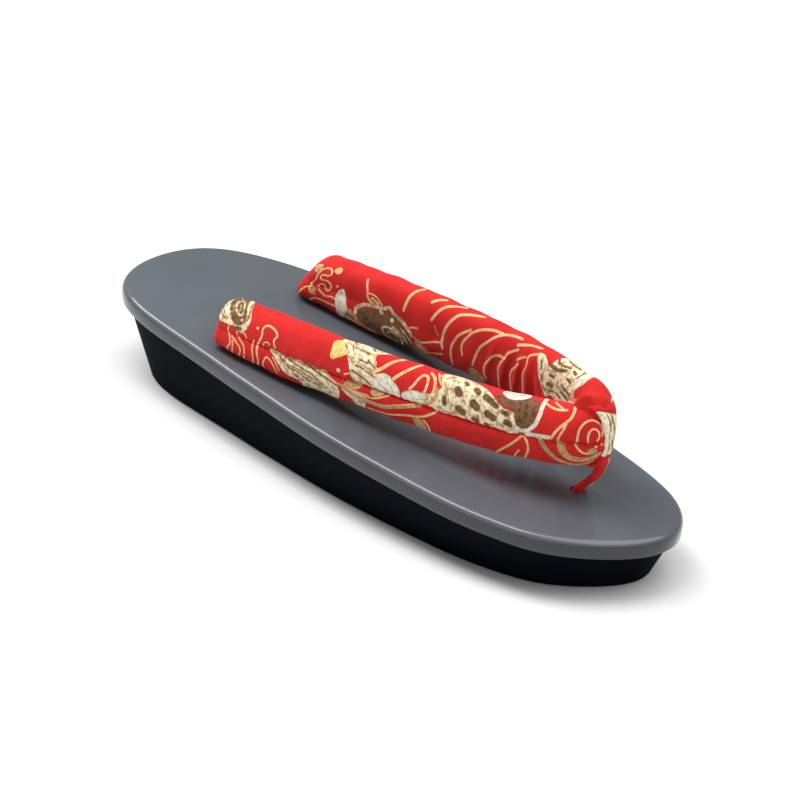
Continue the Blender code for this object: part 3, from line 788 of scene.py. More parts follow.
# Marks of the plain inner face, charted the same way
INNER_PRINT = (
    ("tan", 4.0, ((5.4, 8.4),)),
    ("gold", 1.2, ((3.4, 8.4), (4, 10), (5.6, 10.6))),
    ("gold", 0, ((12.6, 10.8), (13.6, 12.2), (15.4, 12.1), (16.5, 10.6), (15.8, 9.3), (13.8, 9.6))),
    ("gold", 1.1, ((7.4, 8.8), (8.2, 10), (10, 10.6), (12, 9.8), (12.9, 8.2), (12, 6.9), (10.1, 7),
                   (9.3, 6.1), (9.6, 4.8), (11, 4.3), (13, 4.6), (15, 3.8), (16.3, 2.2), (16.3, 0.7),
                   (15.2, 0), (14.2, 0.7), (13.2, 2), (12, 2.3), (11.1, 1.5), (10.9, 0))),
    ("gold", 1.1, ((7.2, 8), (7.3, 5.5), (7.9, 3.5), (7.7, 1.5), (7.1, 0.4), (8.4, -1.2))),
    ("tan", 3.0, ((9.8, -2.4),)),
    ("gold", 0.9, ((8, -0.8), (8.2, -3), (10, -4.3), (11.6, -4))),
    ("gold", 1.2, ((8, -1.3), (6.5, -2.5), (5.8, -4), (5.4, -6), (5, -9))),
    ("gold", 1.1, ((11.8, -1.1), (14, -2.2), (16, -2.8), (18.5, -2), (20.6, -2.2))),
    ("gold", 1.3, ((11, -9), (11.4, -7.4), (12.8, -6.1), (15, -5.9), (18, -5.7), (22, -5.2))),
    ("gold", 1.5, ((18.8, 3.8),)),
    ("tan", 0, ((25.4, -5), (27.6, -3.6), (30, -4), (31.6, -6.4), (33, -8.4), (29, -9.4), (25.8, -9.6))),
    ("brown", 0.8, ((27.6, -6.4), (30.6, -6.8))),
    ("white", 0, ((20.1, 1), (20.8, 3), (22.2, 3.7), (23.8, 2), (25.4, -1), (27, -4), (26.8, -7),
                  (25.4, -10), (23.6, -9), (22.4, -6), (21, -3), (20.2, -1))),
    ("gold", 1.3, ((31.2, 11.2), (32.5, 9), (33.8, 7), (34.6, 5), (36.5, 3.4), (38.8, 2.6))),
    ("gold", 1.0, ((34.6, 6.3), (37.5, 6.3), (40, 5.5), (42.6, 3.4))),
    ("yellow", 1.3, ((37, 4.8), (39, 4.2), (40.8, 3.4))),
    ("brown", 0, ((31.2, -3.2), (33.5, -0.8), (37, 0.2), (41, 0.7), (44.4, 1.1), (47.6, 1.8), (50.6, 0.4),
                  (53.5, -1.4), (56, -3.4), (58.2, -6), (59.4, -9), (59.6, -14), (46, -15), (41, -9.8),
                  (37, -8.7), (33.5, -6.9))),
    ("cream", 1.8, ((31, -4), (30.6, -2.3), (33, 0.4), (37, 1.7), (40, 2), (43, 2.2), (45, 3), (46.4, 3.6),
                    (48, 2.3), (50.5, 1.3), (53.5, 0.2), (56, -1.8), (58.4, -4))),
    ("cream", 0.9, ((30.6, -4), (31.5, -6), (34, -7.7), (36.5, -8.7), (40, -9.2))),
    ("cream", 1.2, ((27.2, -8.2), (30, -8.8), (34, -9.5), (40, -10.4), (46, -13))),
    ("cream", 1.9, ((42.4, 0.7), (43, 0.2))),
    ("white", 2.3, ((48.4, -1),)),
    ("cream", 0.5, ((40.4, -2.6), (42, -3.3))),
    ("cream", 1.4, ((53.4, -3.2), (56, -5), (58, -7.3), (59.6, -9.6), (60.8, -12))),
    ("cream", 1.3, ((49.2, -3.4), (52, -4.4), (54.5, -6.1), (56, -8.4))),
    ("cream", 1.5, ((52, -11.6), (48, -11), (45, -8.8), (43.9, -5.8), (46, -4.5), (49.4, -4.7),
                    (52.4, -6), (53.8, -8.4), (52.8, -11))),
    ("cream", 1.0, ((46.2, -7.6), (47.5, -6), (50, -6), (51.7, -7.5), (51.2, -9.4), (48.9, -10),
                    (46.9, -9))),
    ("tan", 1.2, ((57.2, -3.4), (60.5, -4.7), (64, -5.1))),
    ("tan", 0, ((60.4, -5.4), (64, -5.8), (67.4, -7.6), (66, -10.4), (62, -10))),
    ("gold", 1.0, ((56.4, -1.6), (58.5, -0.6), (61.2, 0.1))),
    ("gold", 1.1, ((63.8, -5), (67, -3.8), (70, -2.5), (73, -1.6))),
    ("gold", 1.2, ((62, -6.9), (66, -8.4), (69, -7.9), (72, -6.9), (74.6, -6.1))),
    ("gold", 1.5, ((53.5, 5), (54, 8), (54.5, 11), (55.7, 14.3), (56.8, 17))),
    ("gold", 1.6, ((65.1, 12.2), (67, 13.8), (69.4, 15.5))),
    ("gold", 1.6, ((67.6, 5.9), (68.8, 8.3), (70.5, 11), (73, 13.4), (76, 15.2), (79, 16.4))),
    ("gold", 0.6, ((69.4, 4.2), (70.5, 2), (71.9, 0.5))),
    ("gold", 1.6, ((74.8, -3.4), (74, -1), (74.5, 3), (75.8, 6.5), (77.5, 9.3), (79.5, 11.7), (82, 13),
                   (85, 14.2), (89, 15.5))),
    ("gold", 1.4, ((79.7, -8.6), (79, -4), (79.3, -0.5), (80.5, 2), (82, 4.5), (84, 6.3), (86.9, 8.4))),
    ("gold", 1.4, ((85, -2.2), (84.2, 0), (84.5, 2.5), (86, 5), (88, 7.5), (90.5, 9.3), (94, 10.9),
                   (98, 12), (101.8, 12.3))),
    ("gold", 1.4, ((90.6, -4.2), (91.5, -1), (92.5, 2), (94, 4.5), (96.5, 7), (99.5, 10), (103, 12.3),
                   (107, 13.5), (111, 13.9))),
    ("gold", 1.3, ((97.8, -6.8), (96.5, -4), (96.8, -2), (98.5, 0.5), (101, 3.2), (104, 4.6), (107.2, 4.8),
                   (107.8, 6.6), (110, 8.5), (112.2, 9.9))),
    ("gold", 1.3, ((105.6, -9.4), (104.6, -5), (104, -1.5), (104.5, 1), (106, 3.5), (107.4, 5.2))),
    ("gold", 1.2, ((111.2, -6.8), (111, -3), (110.6, 0), (111.5, 2.2), (113.5, 4), (114.6, 5.6))),
    ("gold", 1.2, ((113.2, 6.5), (115, 7.8), (117, 8.9))),
    ("gold", 1.4, ((111, 11.2), (114, 12.5), (117, 13.7), (121, 14.6))),
    ("gold", 1.2, ((118.2, -4.6), (118, -1), (117.3, 2), (118, 4.5), (119.4, 6.5), (118.5, 9.5),
                   (120.5, 11.2), (123.4, 12.6))),
    ("tan", 0, ((87.6, -7.6), (89.4, -6), (92.6, -5.7), (95.8, -7.2), (97.2, -8.6), (94, -10.4),
                (89.6, -11.4))),
    ("white", 0, ((104, -12), (107, -9.4), (112, -7.7), (117, -5.9), (121.4, -5), (118.6, -7.6),
                  (112.6, -10.8), (107, -14.4))),
    ("brown", 0, ((109, -14), (113, -10.8), (118, -7.9), (122, -5.9), (127, -4.4), (129, -4.4),
                  (127.6, -8), (124, -12), (121, -16), (111, -16))),
    ("white", 2.6, ((126.6, -4), (129.4, -3.4), (131, -3.8), (130, -6.4), (128, -9.7), (125, -14))),
    ("cream", 0, ((121.8, 12.4), (124, 13.2), (127, 12), (130, 10.4), (131, 13), (131.6, 16.6), (134, 19),
                  (146, 19.6), (150.6, 17.4), (151, 13), (148.8, 9.8), (149.4, 7.6), (152, 6.4),
                  (149.6, 4.6), (146, 3.4), (142.6, 2), (140.2, 0), (138.4, 0.4), (136.4, 1.6),
                  (134, 1.4), (132.4, 0.3), (130, 1.4), (128, 3.8), (125.4, 6.6), (123.4, 9.6))),
    ("white", 2.4, ((148.6, 16), (148.8, 13.4), (148.4, 11))),
    ("tan", 0.9, ((129.4, 9), (132, 9.4), (136, 9.2))),
    ("tan", 0.8, ((131.4, 6.4), (136, 6), (140.4, 6.5))),
    ("brown", 1.15, ((131.2, 14.8), (133.5, 13.3), (136, 13.3), (139, 14.1))),
    ("brown", 1.6, ((130.2, 11.2), (133, 10.9), (136, 11.3), (139, 12.4))),
    ("brown", 1.5, ((141.8, 14.1), (144.4, 13.4))),
    ("brown", 1.25, ((142, 10.5), (145.2, 10.2))),
    ("brown", 1.25, ((132, 8), (134.8, 8.3))),
    ("brown", 1.05, ((140.2, 7.5), (143.5, 6.9), (147.2, 6.8))),
    ("brown", 1.7, ((132, 4.9), (135, 5.1))),
    ("brown", 1.05, ((137.8, 3.6), (141.2, 3.1))),
    ("brown", 1.25, ((140.8, 5.3), (144, 5.1), (147, 4.7))),
    ("brown", 1.0, ((125.2, 10.6), (126.4, 8.2))),
    ("brown", 1.0, ((127.2, 6.4), (128.6, 4.4))),
    ("brown", 1.0, ((134.6, 16.6), (138, 16.2), (141.6, 17))),
    ("brown", 0.9, ((144.4, 16.8), (146.6, 15.2), (147, 12.6))),
    ("brown", 0.9, ((133.4, 2.9), (136.4, 3.4))),
    ("brown", 0.9, ((129.2, 3.2), (131.4, 2.2))),
    ("tan", 1.7, ((147, 5.5), (150, 6.6), (154, 7.6), (158, 8.4), (162, 8.8))),
    ("gold", 1.3, ((132.8, -2.6), (137, -2.6), (141, -1.8), (145, 0), (149.8, 1.2))),
    ("gold", 1.7, ((137, -15), (142, -9.5), (146, -5.5), (150, -2), (153, 0.2))),
    ("gold", 2.6, ((153, 0.2), (155.6, 1.8), (158, 3.4), (161.4, 4.6))),
    ("tan", 1.5, ((140.4, -13), (144, -9), (147, -6.5), (149.6, -4.4))),
)


def trace(points, closed):
    """Smooth curve through given points, read a third of a millimetre apart."""
    path = np.array(points, dtype=float)
    if closed:
        path = np.concatenate((path[-2:], path, path[:3]))
    reach = np.concatenate(([0.0], np.cumsum(np.linalg.norm(np.diff(path, axis=0), axis=1))))
    start, end = (reach[2], reach[-3]) if closed else (0.0, reach[-1])
    at = np.linspace(start, end, max(3, int((end - start) / TRACE_STEP)))
    return np.stack([smooth(at, reach, path[:, k]) for k in (0, 1)], axis=1)


def depth_in_mark(s, v, width, points):
    """Distance in from the edge of a mark, in mm, negative outside it.

    A line's is half its width less the distance to its curve. An outline's is the distance to
    its curve, with the sign of how often a level ray from the place crosses that curve.
    """
    if len(points) == 1:
        return (width - INK_DRAW_IN) / 2 - np.hypot(s - points[0][0], v - points[0][1])
    path = trace(points, width == 0)
    start, end = path[:-1], path[1:]
    run = end - start
    away_s = s[:, None] - start[:, 0]
    away_v = v[:, None] - start[:, 1]
    share = np.clip((away_s * run[:, 0] + away_v * run[:, 1]) / np.sum(run ** 2, axis=1), 0, 1)
    away = np.hypot(away_s - share * run[:, 0], away_v - share * run[:, 1]).min(axis=1)
    if width > 0:
        return (width - INK_DRAW_IN) / 2 - away
    straddles = (start[:, 1] > v[:, None]) != (end[:, 1] > v[:, None])
    level_run = np.where(run[:, 1] == 0, 1.0, run[:, 1])
    crossed = straddles & (away_s < run[:, 0] * away_v / level_run)
    return np.where(crossed.sum(axis=1) % 2 == 1, away, -away)


def print_face(layers, s, v, marks, half_height):
    """Raises each mark's ink, and takes the inks that lie over it away, on the face within half_height."""
    inks = [row[INK_COLUMNS.index("ink")] for row in INKS]
    for ink, width, points in marks:
        spots = np.array(points, dtype=float)
        low = spots.min(axis=0) - width - FIELD_REACH
        high = spots.max(axis=0) + width + FIELD_REACH
        near = (s > low[0]) & (s < high[0]) & (v > low[1]) & (v < high[1]) & (np.abs(v) < half_height)
        if not near.any():
            continue
        depth = depth_in_mark(s[near], v[near], width, points)
        depth = np.minimum(depth, half_height - np.abs(v[near]))
        layers[ink][near] = np.maximum(layers[ink][near], depth)
        for above in inks[inks.index(ink) + 1:]:
            layers[above][near] = np.minimum(layers[above][near], INK_OVERLAP - depth)


def print_inks(arm, side, s, girth, whole):
    """Stores each ink's depth in mm on an arm; the face that no photograph shows takes the other's marks."""
    outer_up = np.where(girth > whole / 2, girth - whole, girth)
    inner_up = whole / 2 - girth
    layers = {row[INK_COLUMNS.index("ink")]: np.full(s.size, -FIELD_REACH) for row in INKS}
    seen = (outer_up, OUTER_PRINT) if side > 0 else (inner_up, INNER_PRINT)
    hidden = (inner_up, INNER_PRINT) if side > 0 else (outer_up, OUTER_PRINT)
    print_face(layers, s.max() - s, *hidden, HIDDEN_FACE_HALF)
    print_face(layers, s, *seen, whole)
    for ink, depth in layers.items():
        data = arm.data.attributes.new(f"ink_{ink}", "FLOAT", "POINT")
        data.data.foreach_set("value", np.clip(depth, -FIELD_REACH, FIELD_REACH))


# Cloth of the strap: plain-woven cotton, about twenty threads to the centimetre, drawn a little
# coarser so that it shows. It is matt and slightly furry, and the inks sit in its threads.
THREAD_SPACING = 0.55
THREAD_RELIEF = 0.00012
INK_START = -0.14
INK_FULL = 0.14
KEYLINE = "#6e120c"
KEYLINE_REACH = -0.4
KEYLINE_SHARE = 0.25


def flecked(tree, place, scale, low, high, detail=3.0):
    """Share from 0 to 1 in soft flecks: noise of so many lumps a metre, stepped between two levels."""
    lumps = add_node(tree, "ShaderNodeTexNoise", values={"Scale": scale, "Detail": detail},
                     links={"Vector": place})
    return add_node(tree, "ShaderNodeMapRange", {"interpolation_type": "SMOOTHSTEP"},
                    {"From Min": low, "From Max": high, "To Min": 0.0, "To Max": 1.0},
                    {"Value": lumps.outputs["Fac"]}).outputs["Result"]


def inked(tree, cloth, ink, tones, flecks, keyline):
    """Colour of the cloth with one ink over it, where the ink's own attribute says how deep it lies.

    The ink's two tones turn by the flecks. A share of a dark line lies on the cloth just outside it.
    """
    depth = add_node(tree, "ShaderNodeAttribute", {"attribute_name": f"ink_{ink}"}).outputs["Fac"]
    if keyline:
        edge = add_node(tree, "ShaderNodeMapRange", {"interpolation_type": "SMOOTHSTEP"},
                        {"From Min": KEYLINE_REACH, "From Max": INK_START, "To Min": 0.0,
                         "To Max": keyline}, {"Value": depth})
        cloth = add_node(tree, "ShaderNodeMix", {"data_type": "RGBA"}, {7: linear(KEYLINE)},
                         {0: edge.outputs["Result"], 6: cloth}).outputs[2]
    inside = add_node(tree, "ShaderNodeMapRange", {"interpolation_type": "SMOOTHSTEP"},
                      {"From Min": INK_START, "From Max": INK_FULL, "To Min": 0.0, "To Max": 1.0},
                      {"Value": depth})
    tone = add_node(tree, "ShaderNodeMix", {"data_type": "RGBA"},
                    {6: linear(tones[0]), 7: linear(tones[1])}, {0: flecks})
    return add_node(tree, "ShaderNodeMix", {"data_type": "RGBA"},
                    links={0: inside.outputs["Result"], 6: cloth, 7: tone.outputs[2]}).outputs[2]


def weave_height(tree):
    """Threads over and under: the product of a sine along the cloth and a sine across it."""
    uv = add_node(tree, "ShaderNodeUVMap", {"uv_map": "cloth_mm"}).outputs["UV"]
    turns = add_node(tree, "ShaderNodeVectorMath", {"operation": "SCALE"},
                     {"Scale": math.pi / THREAD_SPACING}, {0: uv}).outputs["Vector"]
    axes = add_node(tree, "ShaderNodeSeparateXYZ", links={0: turns})
    waves = [add_node(tree, "ShaderNodeMath", {"operation": "SINE"}, links={0: axes.outputs[k]})
             for k in (0, 1)]
    return add_node(tree, "ShaderNodeMath", {"operation": "MULTIPLY"},
                    links={0: waves[0].outputs[0], 1: waves[1].outputs[0]}).outputs[0]


def printed_cotton(name, reds, red_scale, ink_flecks, inks, keyline):
    """Red cotton with inks laid over it in order: two near reds in clouds, and a relief of threads."""
    finish, tree, shader = new_finish(name, {
        "Roughness": 0.78, "IOR": 1.47, "Specular IOR Level": 0.25, "Sheen Weight": 0.06,
        "Sheen Roughness": 0.5,
    })
    place = add_node(tree, "ShaderNodeTexCoord").outputs["Object"]
    clouds = flecked(tree, place, red_scale, 0.3, 0.7)
    flecks = flecked(tree, place, *ink_flecks, detail=4.0)
    colour = add_node(tree, "ShaderNodeMix", {"data_type": "RGBA"},
                      {6: linear(reds[0]), 7: linear(reds[1])}, {0: clouds}).outputs[2]
    for ink, light, dark in inks:
        colour = inked(tree, colour, ink, (light, dark), flecks, keyline)
    tree.links.new(colour, shader.inputs["Base Color"])
    weave = add_node(tree, "ShaderNodeBump", values={"Strength": 0.6, "Distance": THREAD_RELIEF},
                     links={"Height": weave_height(tree)})
    tree.links.new(weave.outputs["Normal"], shader.inputs["Normal"])
    return finish


# Arms: each is turned right side out, stuffed, and pulled tight at both ends, so the cloth creases
# at its bends, puckers along its seam, and is drawn in where the thong is tied round the apex.

# Creases: face, place along and up in mm, half length in mm, turn in degrees from the arm's line,
# half width in mm, and rise in mm. A trough is negative.
CREASE_COLUMNS = ("arm", "face", "along", "up", "half_length", "turn", "half_width", "rise")
CREASES = (
    ("right", "outer", 38, 2.2, 5.0, 72, 1.3, -0.30),
    ("right", "outer", 46, 2.0, 3.6, 100, 1.2, -0.28),
    ("right", "outer", 54, 2.6, 4.4, 64, 1.4, -0.32),
    ("right", "outer", 66, 2.4, 4.0, 80, 1.4, -0.34),
    ("right", "outer", 90, -3.5, 9.0, 20, 2.2, -0.30),
    ("right", "outer", 118, -5.0, 12.0, 8, 3.0, -0.35),
    ("right", "outer", 132, 2.0, 3.4, 60, 1.3, -0.30),
    ("right", "outer", 146, -3.0, 7.0, -40, 1.8, -0.35),
    ("right", "outer", 150, 5.0, 6.0, 48, 1.8, -0.30),
    ("right", "outer", 162.0, 0.5, 9.0, 90, 1.1, -1.10),
    ("right", "outer", 149, 0.0, 15.0, 0, 0.5, -1.10),
    ("right", "outer", 24, -5.0, 6.0, 76, 1.7, -0.30),
    ("right", "outer", 14, -6.0, 6.0, 64, 1.7, -0.30),
    ("left", "inner", 99, 0.0, 9.0, 76, 1.7, -0.60),
    ("left", "inner", 107, -1.0, 9.0, 80, 1.6, -0.85),
    ("left", "inner", 114, -1.0, 9.0, 84, 1.5, -1.10),
    ("left", "inner", 121, -0.5, 9.5, 96, 1.6, -1.30),
    ("left", "inner", 128, -1.0, 7.0, 112, 1.5, -0.80),
    ("left", "inner", 86, -3.0, 8.0, 70, 2.2, -0.30),
    ("left", "inner", 70, -5.0, 8.0, 30, 2.2, -0.30),
    ("left", "inner", 136, -1.0, 9.0, 10, 1.8, -0.50),
    ("left", "inner", 152, -6.5, 12.0, 24, 1.8, -0.70),
    ("left", "inner", 163, 10.5, 4.2, 84, 1.4, -1.60),
    ("left", "inner", 158, 4.0, 7.0, 18, 2.4, -0.40),
    ("left", "outer", 40, 2.0, 5.0, 75, 1.4, -0.30),
    ("left", "outer", 88, 2.2, 5.0, 100, 1.4, -0.32),
    ("left", "outer", 126, -3.0, 9.0, 70, 2.0, -0.45),
    ("right", "inner", 60, 0.0, 9.0, 80, 2.2, -0.35),
    ("right", "inner", 124, 0.0, 9.0, 96, 2.0, -0.55),
)
PUCKER_PITCH = 3.4
PUCKER_RISE = 0.10
PUCKER_REACH = 3.4
PUCKER_START = 8.0
PUCKER_STAGGER = 0.9
LUMP_PITCH = 17.0
LUMP_RISE = 0.22
LUMP_SWING = 11.0
CINCH = 0.12
CINCH_HALF_WIDTH = 0.0046
CINCH_REACH = 0.0125
CINCH_EDGE = 0.0012
BULGE = 0.03
BULGE_PLACE = 0.0085
BULGE_HALF_WIDTH = 0.0034
OPEN_SHARE = 0.5

# Uneven spacing of the puckers: reach in radians, length in mm over a turn's 2 pi, and start
PUCKER_WANDER = ((1.1, 5.3, 0.0), (0.7, 2.9, 1.0))


def loop_middle():
    """Middle of the thong's loop round the apex, as (y, z)."""
    apex_y = HOLES["front"][1] + APEX_PAST_HOLE
    low = board_top(apex_y) + BAND_WIDTH * band_row(1.0, "lower_edge")
    high = board_top(apex_y) + BAND_WIDTH * band_row(1.0, "upper_edge")
    return np.array((apex_y + BAND_APEX_ROUND - LOOP_DEPTH / 2, (low + high) / 2))


def cinched(points):
    """Cloth drawn in where the thong is tied round it and pushed out beside it.

    Each point moves towards the loop's middle by a share of its distance, a flat-topped bell of
    its distance from the loop's plane, less a smaller bell on each side of the loop.
    """
    middle = loop_middle()
    aside = np.abs(points[..., 0] - HOLES["front"][0])
    away = points[..., 1:] - middle
    near = 1 / (1 + np.exp((middle[0] - CINCH_REACH - points[..., 1]) / CINCH_EDGE))
    bell = CINCH * np.exp(-((aside / CINCH_HALF_WIDTH) ** 4))
    swell = BULGE * np.exp(-(((aside - BULGE_PLACE) / BULGE_HALF_WIDTH) ** 2))
    moved = points.copy()
    moved[..., 1:] = middle + away * (1 - (bell - swell) * near)[..., None]
    return moved


def crease_rise(side, s, outer_up, inner_up):
    """Sum of the arm's creases, each a bell across its width and a flat-topped bell along its length."""
    rise = np.zeros(s.shape)
    for arm, face, along, up, half_length, turn, half_width, height in CREASES:
        if (arm == "right") != (side > 0):
            continue
        v = outer_up if face == "outer" else inner_up
        a = math.radians(turn)
        on = (s - along) * math.cos(a) + (v - up) * math.sin(a)
        off = (v - up) * math.cos(a) - (s - along) * math.sin(a)
        rise += height * np.exp(-((off / half_width) ** 2) - (on / half_length) ** 4)
    return rise


def wadding_rise(s, outer_up, girth, whole):
    """Puckers that the stitches draw beside the seam, and slow lumps of the wadding.

    A pucker is a sine along the seam, unevenly spaced, under a bell of the distance from it. The
    lumps are a sine along the arm times a cosine round it, each shifted by the other's place.
    """
    fade = np.exp(-((outer_up / PUCKER_REACH) ** 2)) * np.clip(s / PUCKER_START, 0, 1)
    wander = sum(reach * np.sin(s / length + start) for reach, length, start in PUCKER_WANDER)
    pucker = np.sin(s * 2 * math.pi / PUCKER_PITCH + wander + np.sign(outer_up) * PUCKER_STAGGER)
    around = girth / whole * 2 * math.pi
    lumps = np.sin(s * 2 * math.pi / LUMP_PITCH + 2 * np.sin(around)) * np.cos(around * 2 + s / LUMP_SWING)
    return PUCKER_RISE * fade * pucker + LUMP_RISE * lumps


def end_fade(points):
    """Share of the relief that stays: all of it on the open arm, none at the closed tips."""
    width = np.linalg.norm(np.ptp(points, axis=1)[:, :2], axis=1)
    return np.clip(width / (OPEN_SHARE * np.median(width)), 0, 1)[:, None] ** 2


def lay_uv(piece, along, around, whole):
    """UV map in millimetres of cloth, with the seam of the map hidden in the seam of the cloth."""
    corner = np.empty(len(piece.data.loops), dtype=np.int64)
    starts = np.empty(len(piece.data.polygons), dtype=np.int64)
    totals = np.empty(len(piece.data.polygons), dtype=np.int64)
    piece.data.loops.foreach_get("vertex_index", corner)
    piece.data.polygons.foreach_get("loop_start", starts)
    piece.data.polygons.foreach_get("loop_total", totals)
    across = around[corner]
    face = np.repeat(np.arange(len(starts)), totals)
    most = np.maximum.reduceat(across, starts)[face]
    across = np.where((most - across > whole / 2) & (totals[face] == 4), across + whole, across)
    layer = piece.data.uv_layers.new(name="cloth_mm")
    layer.data.foreach_set("uv", np.stack((along[corner], across), axis=1).ravel())


def make_arm(name, side, finish):
    """One arm on an even grid over its length and girth, creased, printed and closed at both ends."""
    turn, girth, whole = even_turns(side, BAND_SIDES)
    points = band_surface(side, turn, ARM_STATIONS, END_STATIONS)
    middle = points.mean(axis=1)
    length = np.concatenate(([0.0], np.cumsum(np.linalg.norm(np.diff(middle, axis=0), axis=1))))
    start = BAND_REAR_ROUND - RIGHT_REAR_ROUND if side > 0 else 0.0
    s, around = np.meshgrid((length + start) / MM, girth / MM, indexing="ij")
    girth_mm = whole / MM
    outer_up = np.where(around > girth_mm / 2, around - girth_mm, around)
    rise = crease_rise(side, s, outer_up, girth_mm / 2 - around)
    rise = (rise + wadding_rise(s, outer_up, around, girth_mm)) * MM
    points = cinched(points + outward(points, side) * (rise * end_fade(points))[..., None])
    rows, count = points.shape[:2]
    quads = grid_faces(rows, count)
    last = (rows - 1) * count
    caps = [range(count - 1, -1, -1), range(last, last + count)]
    if side > 0:
        quads = quads[:, ::-1]
        caps = [caps[0][::-1], caps[1][::-1]]
    arm = add_piece(name, points.reshape(-1, 3), quads, caps, finish)
    print_inks(arm, side, s.ravel(), around.ravel(), girth_mm)
    lay_uv(arm, s.ravel(), around.ravel(), girth_mm)
    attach(arm, "root")
    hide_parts("strap")


strap_cotton = printed_cotton("printed_cotton", ("#c81b18", "#d62420"), 60.0, (620.0, 0.42, 0.66),
                              INKS, KEYLINE_SHARE)
make_arm("right_arm", 1, strap_cotton)
make_arm("left_arm", -1, strap_cotton)


# Rear cords: the arms end in twisted red cords that go down through the board and are knotted
# in the wells of the sole, where they can be drawn tighter or replaced.
CORD_RISE = 0.0075
KNOT_RADIUS = 0.0053
KNOT_HEIGHT = 0.0070
KNOT_FOOT = 0.3
CORD_STRANDS = 3
STRAND_RELIEF = 0.07
STRAND_PITCH = 0.0075
CORD_STEPS = 120
CORD_SIDES = 96


def knot_rings(x, y, top):
    """Rings of a cord down a hole and its round knot, with strands that twist round it.

    The radius is the cord's, swelled to the knot's by a rounded arch over the knot's height, and
    raised and lowered a little by a sine of the angle that turns with the height.
    """
    floor = (WELL_DEPTH - KNOT_HEIGHT) / 2
    height = np.linspace(floor, top, CORD_STEPS)[:, None]
    turn = np.arange(CORD_SIDES)[None, :] * 2 * math.pi / CORD_SIDES
    share = np.clip((height - floor) / KNOT_HEIGHT, 0, 1)
    arch = np.sqrt(np.clip(1 - (2 * share - 1) ** 2, 0, 1))
    in_knot = height < floor + KNOT_HEIGHT
    least = np.where(in_knot & (share < 0.5), KNOT_RADIUS * KNOT_FOOT, CORD_RADIUS)
    radius = np.maximum(least, KNOT_RADIUS * arch * in_knot)
    strands = np.abs(np.sin((turn + height * 2 * math.pi / STRAND_PITCH) * CORD_STRANDS / 2))
    radius = radius * (1 - STRAND_RELIEF * (1 - strands))
    return np.stack((x + radius * np.cos(turn), y + radius * np.sin(turn), height + 0 * turn), axis=2)


def cord_cotton():
    """Spun cotton cord dyed deep red: matt, mottled every 2 mm, with fibres of under half a millimetre."""
    finish, tree, shader = new_finish("red_cotton_cord", {
        "Roughness": 0.85, "IOR": 1.47, "Specular IOR Level": 0.25, "Sheen Weight": 0.1,
    })
    place = add_node(tree, "ShaderNodeTexCoord").outputs["Object"]
    colour = add_node(tree, "ShaderNodeMix", {"data_type": "RGBA"},
                      {6: linear("#9c1512"), 7: linear("#b81d19")},
                      {0: flecked(tree, place, 500.0, 0.3, 0.7)})
    tree.links.new(colour.outputs[2], shader.inputs["Base Color"])
    fibres = add_node(tree, "ShaderNodeTexNoise", values={"Scale": 2500.0, "Detail": 3.0},
                      links={"Vector": place})
    bump = add_node(tree, "ShaderNodeBump", values={"Strength": 0.3, "Distance": 0.0002},
                    links={"Height": fibres.outputs["Fac"]})
    tree.links.new(bump.outputs["Normal"], shader.inputs["Normal"])
    return finish


red_cord = cord_cotton()
for side_name in ("right", "left"):
    cord_x, cord_y = HOLES[side_name]
    rings = knot_rings(cord_x, cord_y, board_top(cord_y) + CORD_RISE)
    cord = loft(f"{side_name}_cord", rings, red_cord)
    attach(cord, "root")
    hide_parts("strap")


# Front thong: a narrow tube of the same cotton, looped round the apex of the strap and drawn
# down between the toes into the front hole, where it is knotted below like the rear cords.
LOOP_THICKNESS = 0.0026
LOOP_TOP_WIDTH = 0.0110
LOOP_FRONT_WIDTH = 0.0060
LOOP_LIFT = 0.00185
LOOP_CREAM_ABOVE = 0.0095
LOOP_CREAM_BELOW = 0.0056
LOOP_SPREAD = 1.5
LOOP_POWER_ALONG = 0.7
LOOP_POWER_UP = 0.85
STEM_WIDTH = 0.0054
STEM_THICKNESS = 0.0031
STEM_FOOT = 0.0042
STEM_FOOT_RISE = 0.003
THONG_RUN = 0.0108
THONG_RISE = 0.0240
THONG_POWER = 0.8
FOLD_DEPTH = 0.34
FOLD_PLACE = 0.3
FOLD_HALF_WIDTH = 0.2
WRINKLE_RISE = 0.06
WRINKLE_LENGTH = 0.0011
WRINKLE_GROUP = 0.0047
WAVER = 0.03
WAVER_LENGTH = 0.0023
TUCK_DEPTH = 0.7
TUCK_HALF_WIDTH = 0.0005
TUCK_SLANT = 0.5
NO_TUCK = -1.0
EDGE_LINE_HALF = 0.45
EDGE_LINE_START = -0.30
EDGE_LINE_DRIFT = 1.5
EDGE_LINE_SPAN = (0.2, 0.72)
LOOP_STATIONS = 260
STEM_STATIONS = 220
THONG_SIDES = 72

# Brown lines down the loop's cream part: half width, place across, swing and length of swing, in mm
LOOP_LINES = (
    (0.42, -0.7, -0.5, 1.7),
    (0.34, 1.2, 0.4, 1.2),
)

# Path of the thong from its loop to the hole: forward of the hole in shares of THONG_RUN,
# then height over the board in shares of THONG_RISE
STEM_COLUMNS = ("forward", "height")
STEM = (
    (0.80, 0.78),
    (0.86, 0.66),
    (0.75, 0.47),
    (0.52, 0.28),
    (0.19, 0.09),
    (0.01, -0.05),
)


def path_through(points, count):
    """Even reading of a smooth curve through a few points."""
    points = np.array(points)
    reach = np.concatenate(([0.0], np.cumsum(np.linalg.norm(np.diff(points, axis=0), axis=1))))
    at = np.linspace(0, reach[-1], count)
    return np.stack([smooth(at, reach, points[:, k]) for k in range(2)], axis=1)


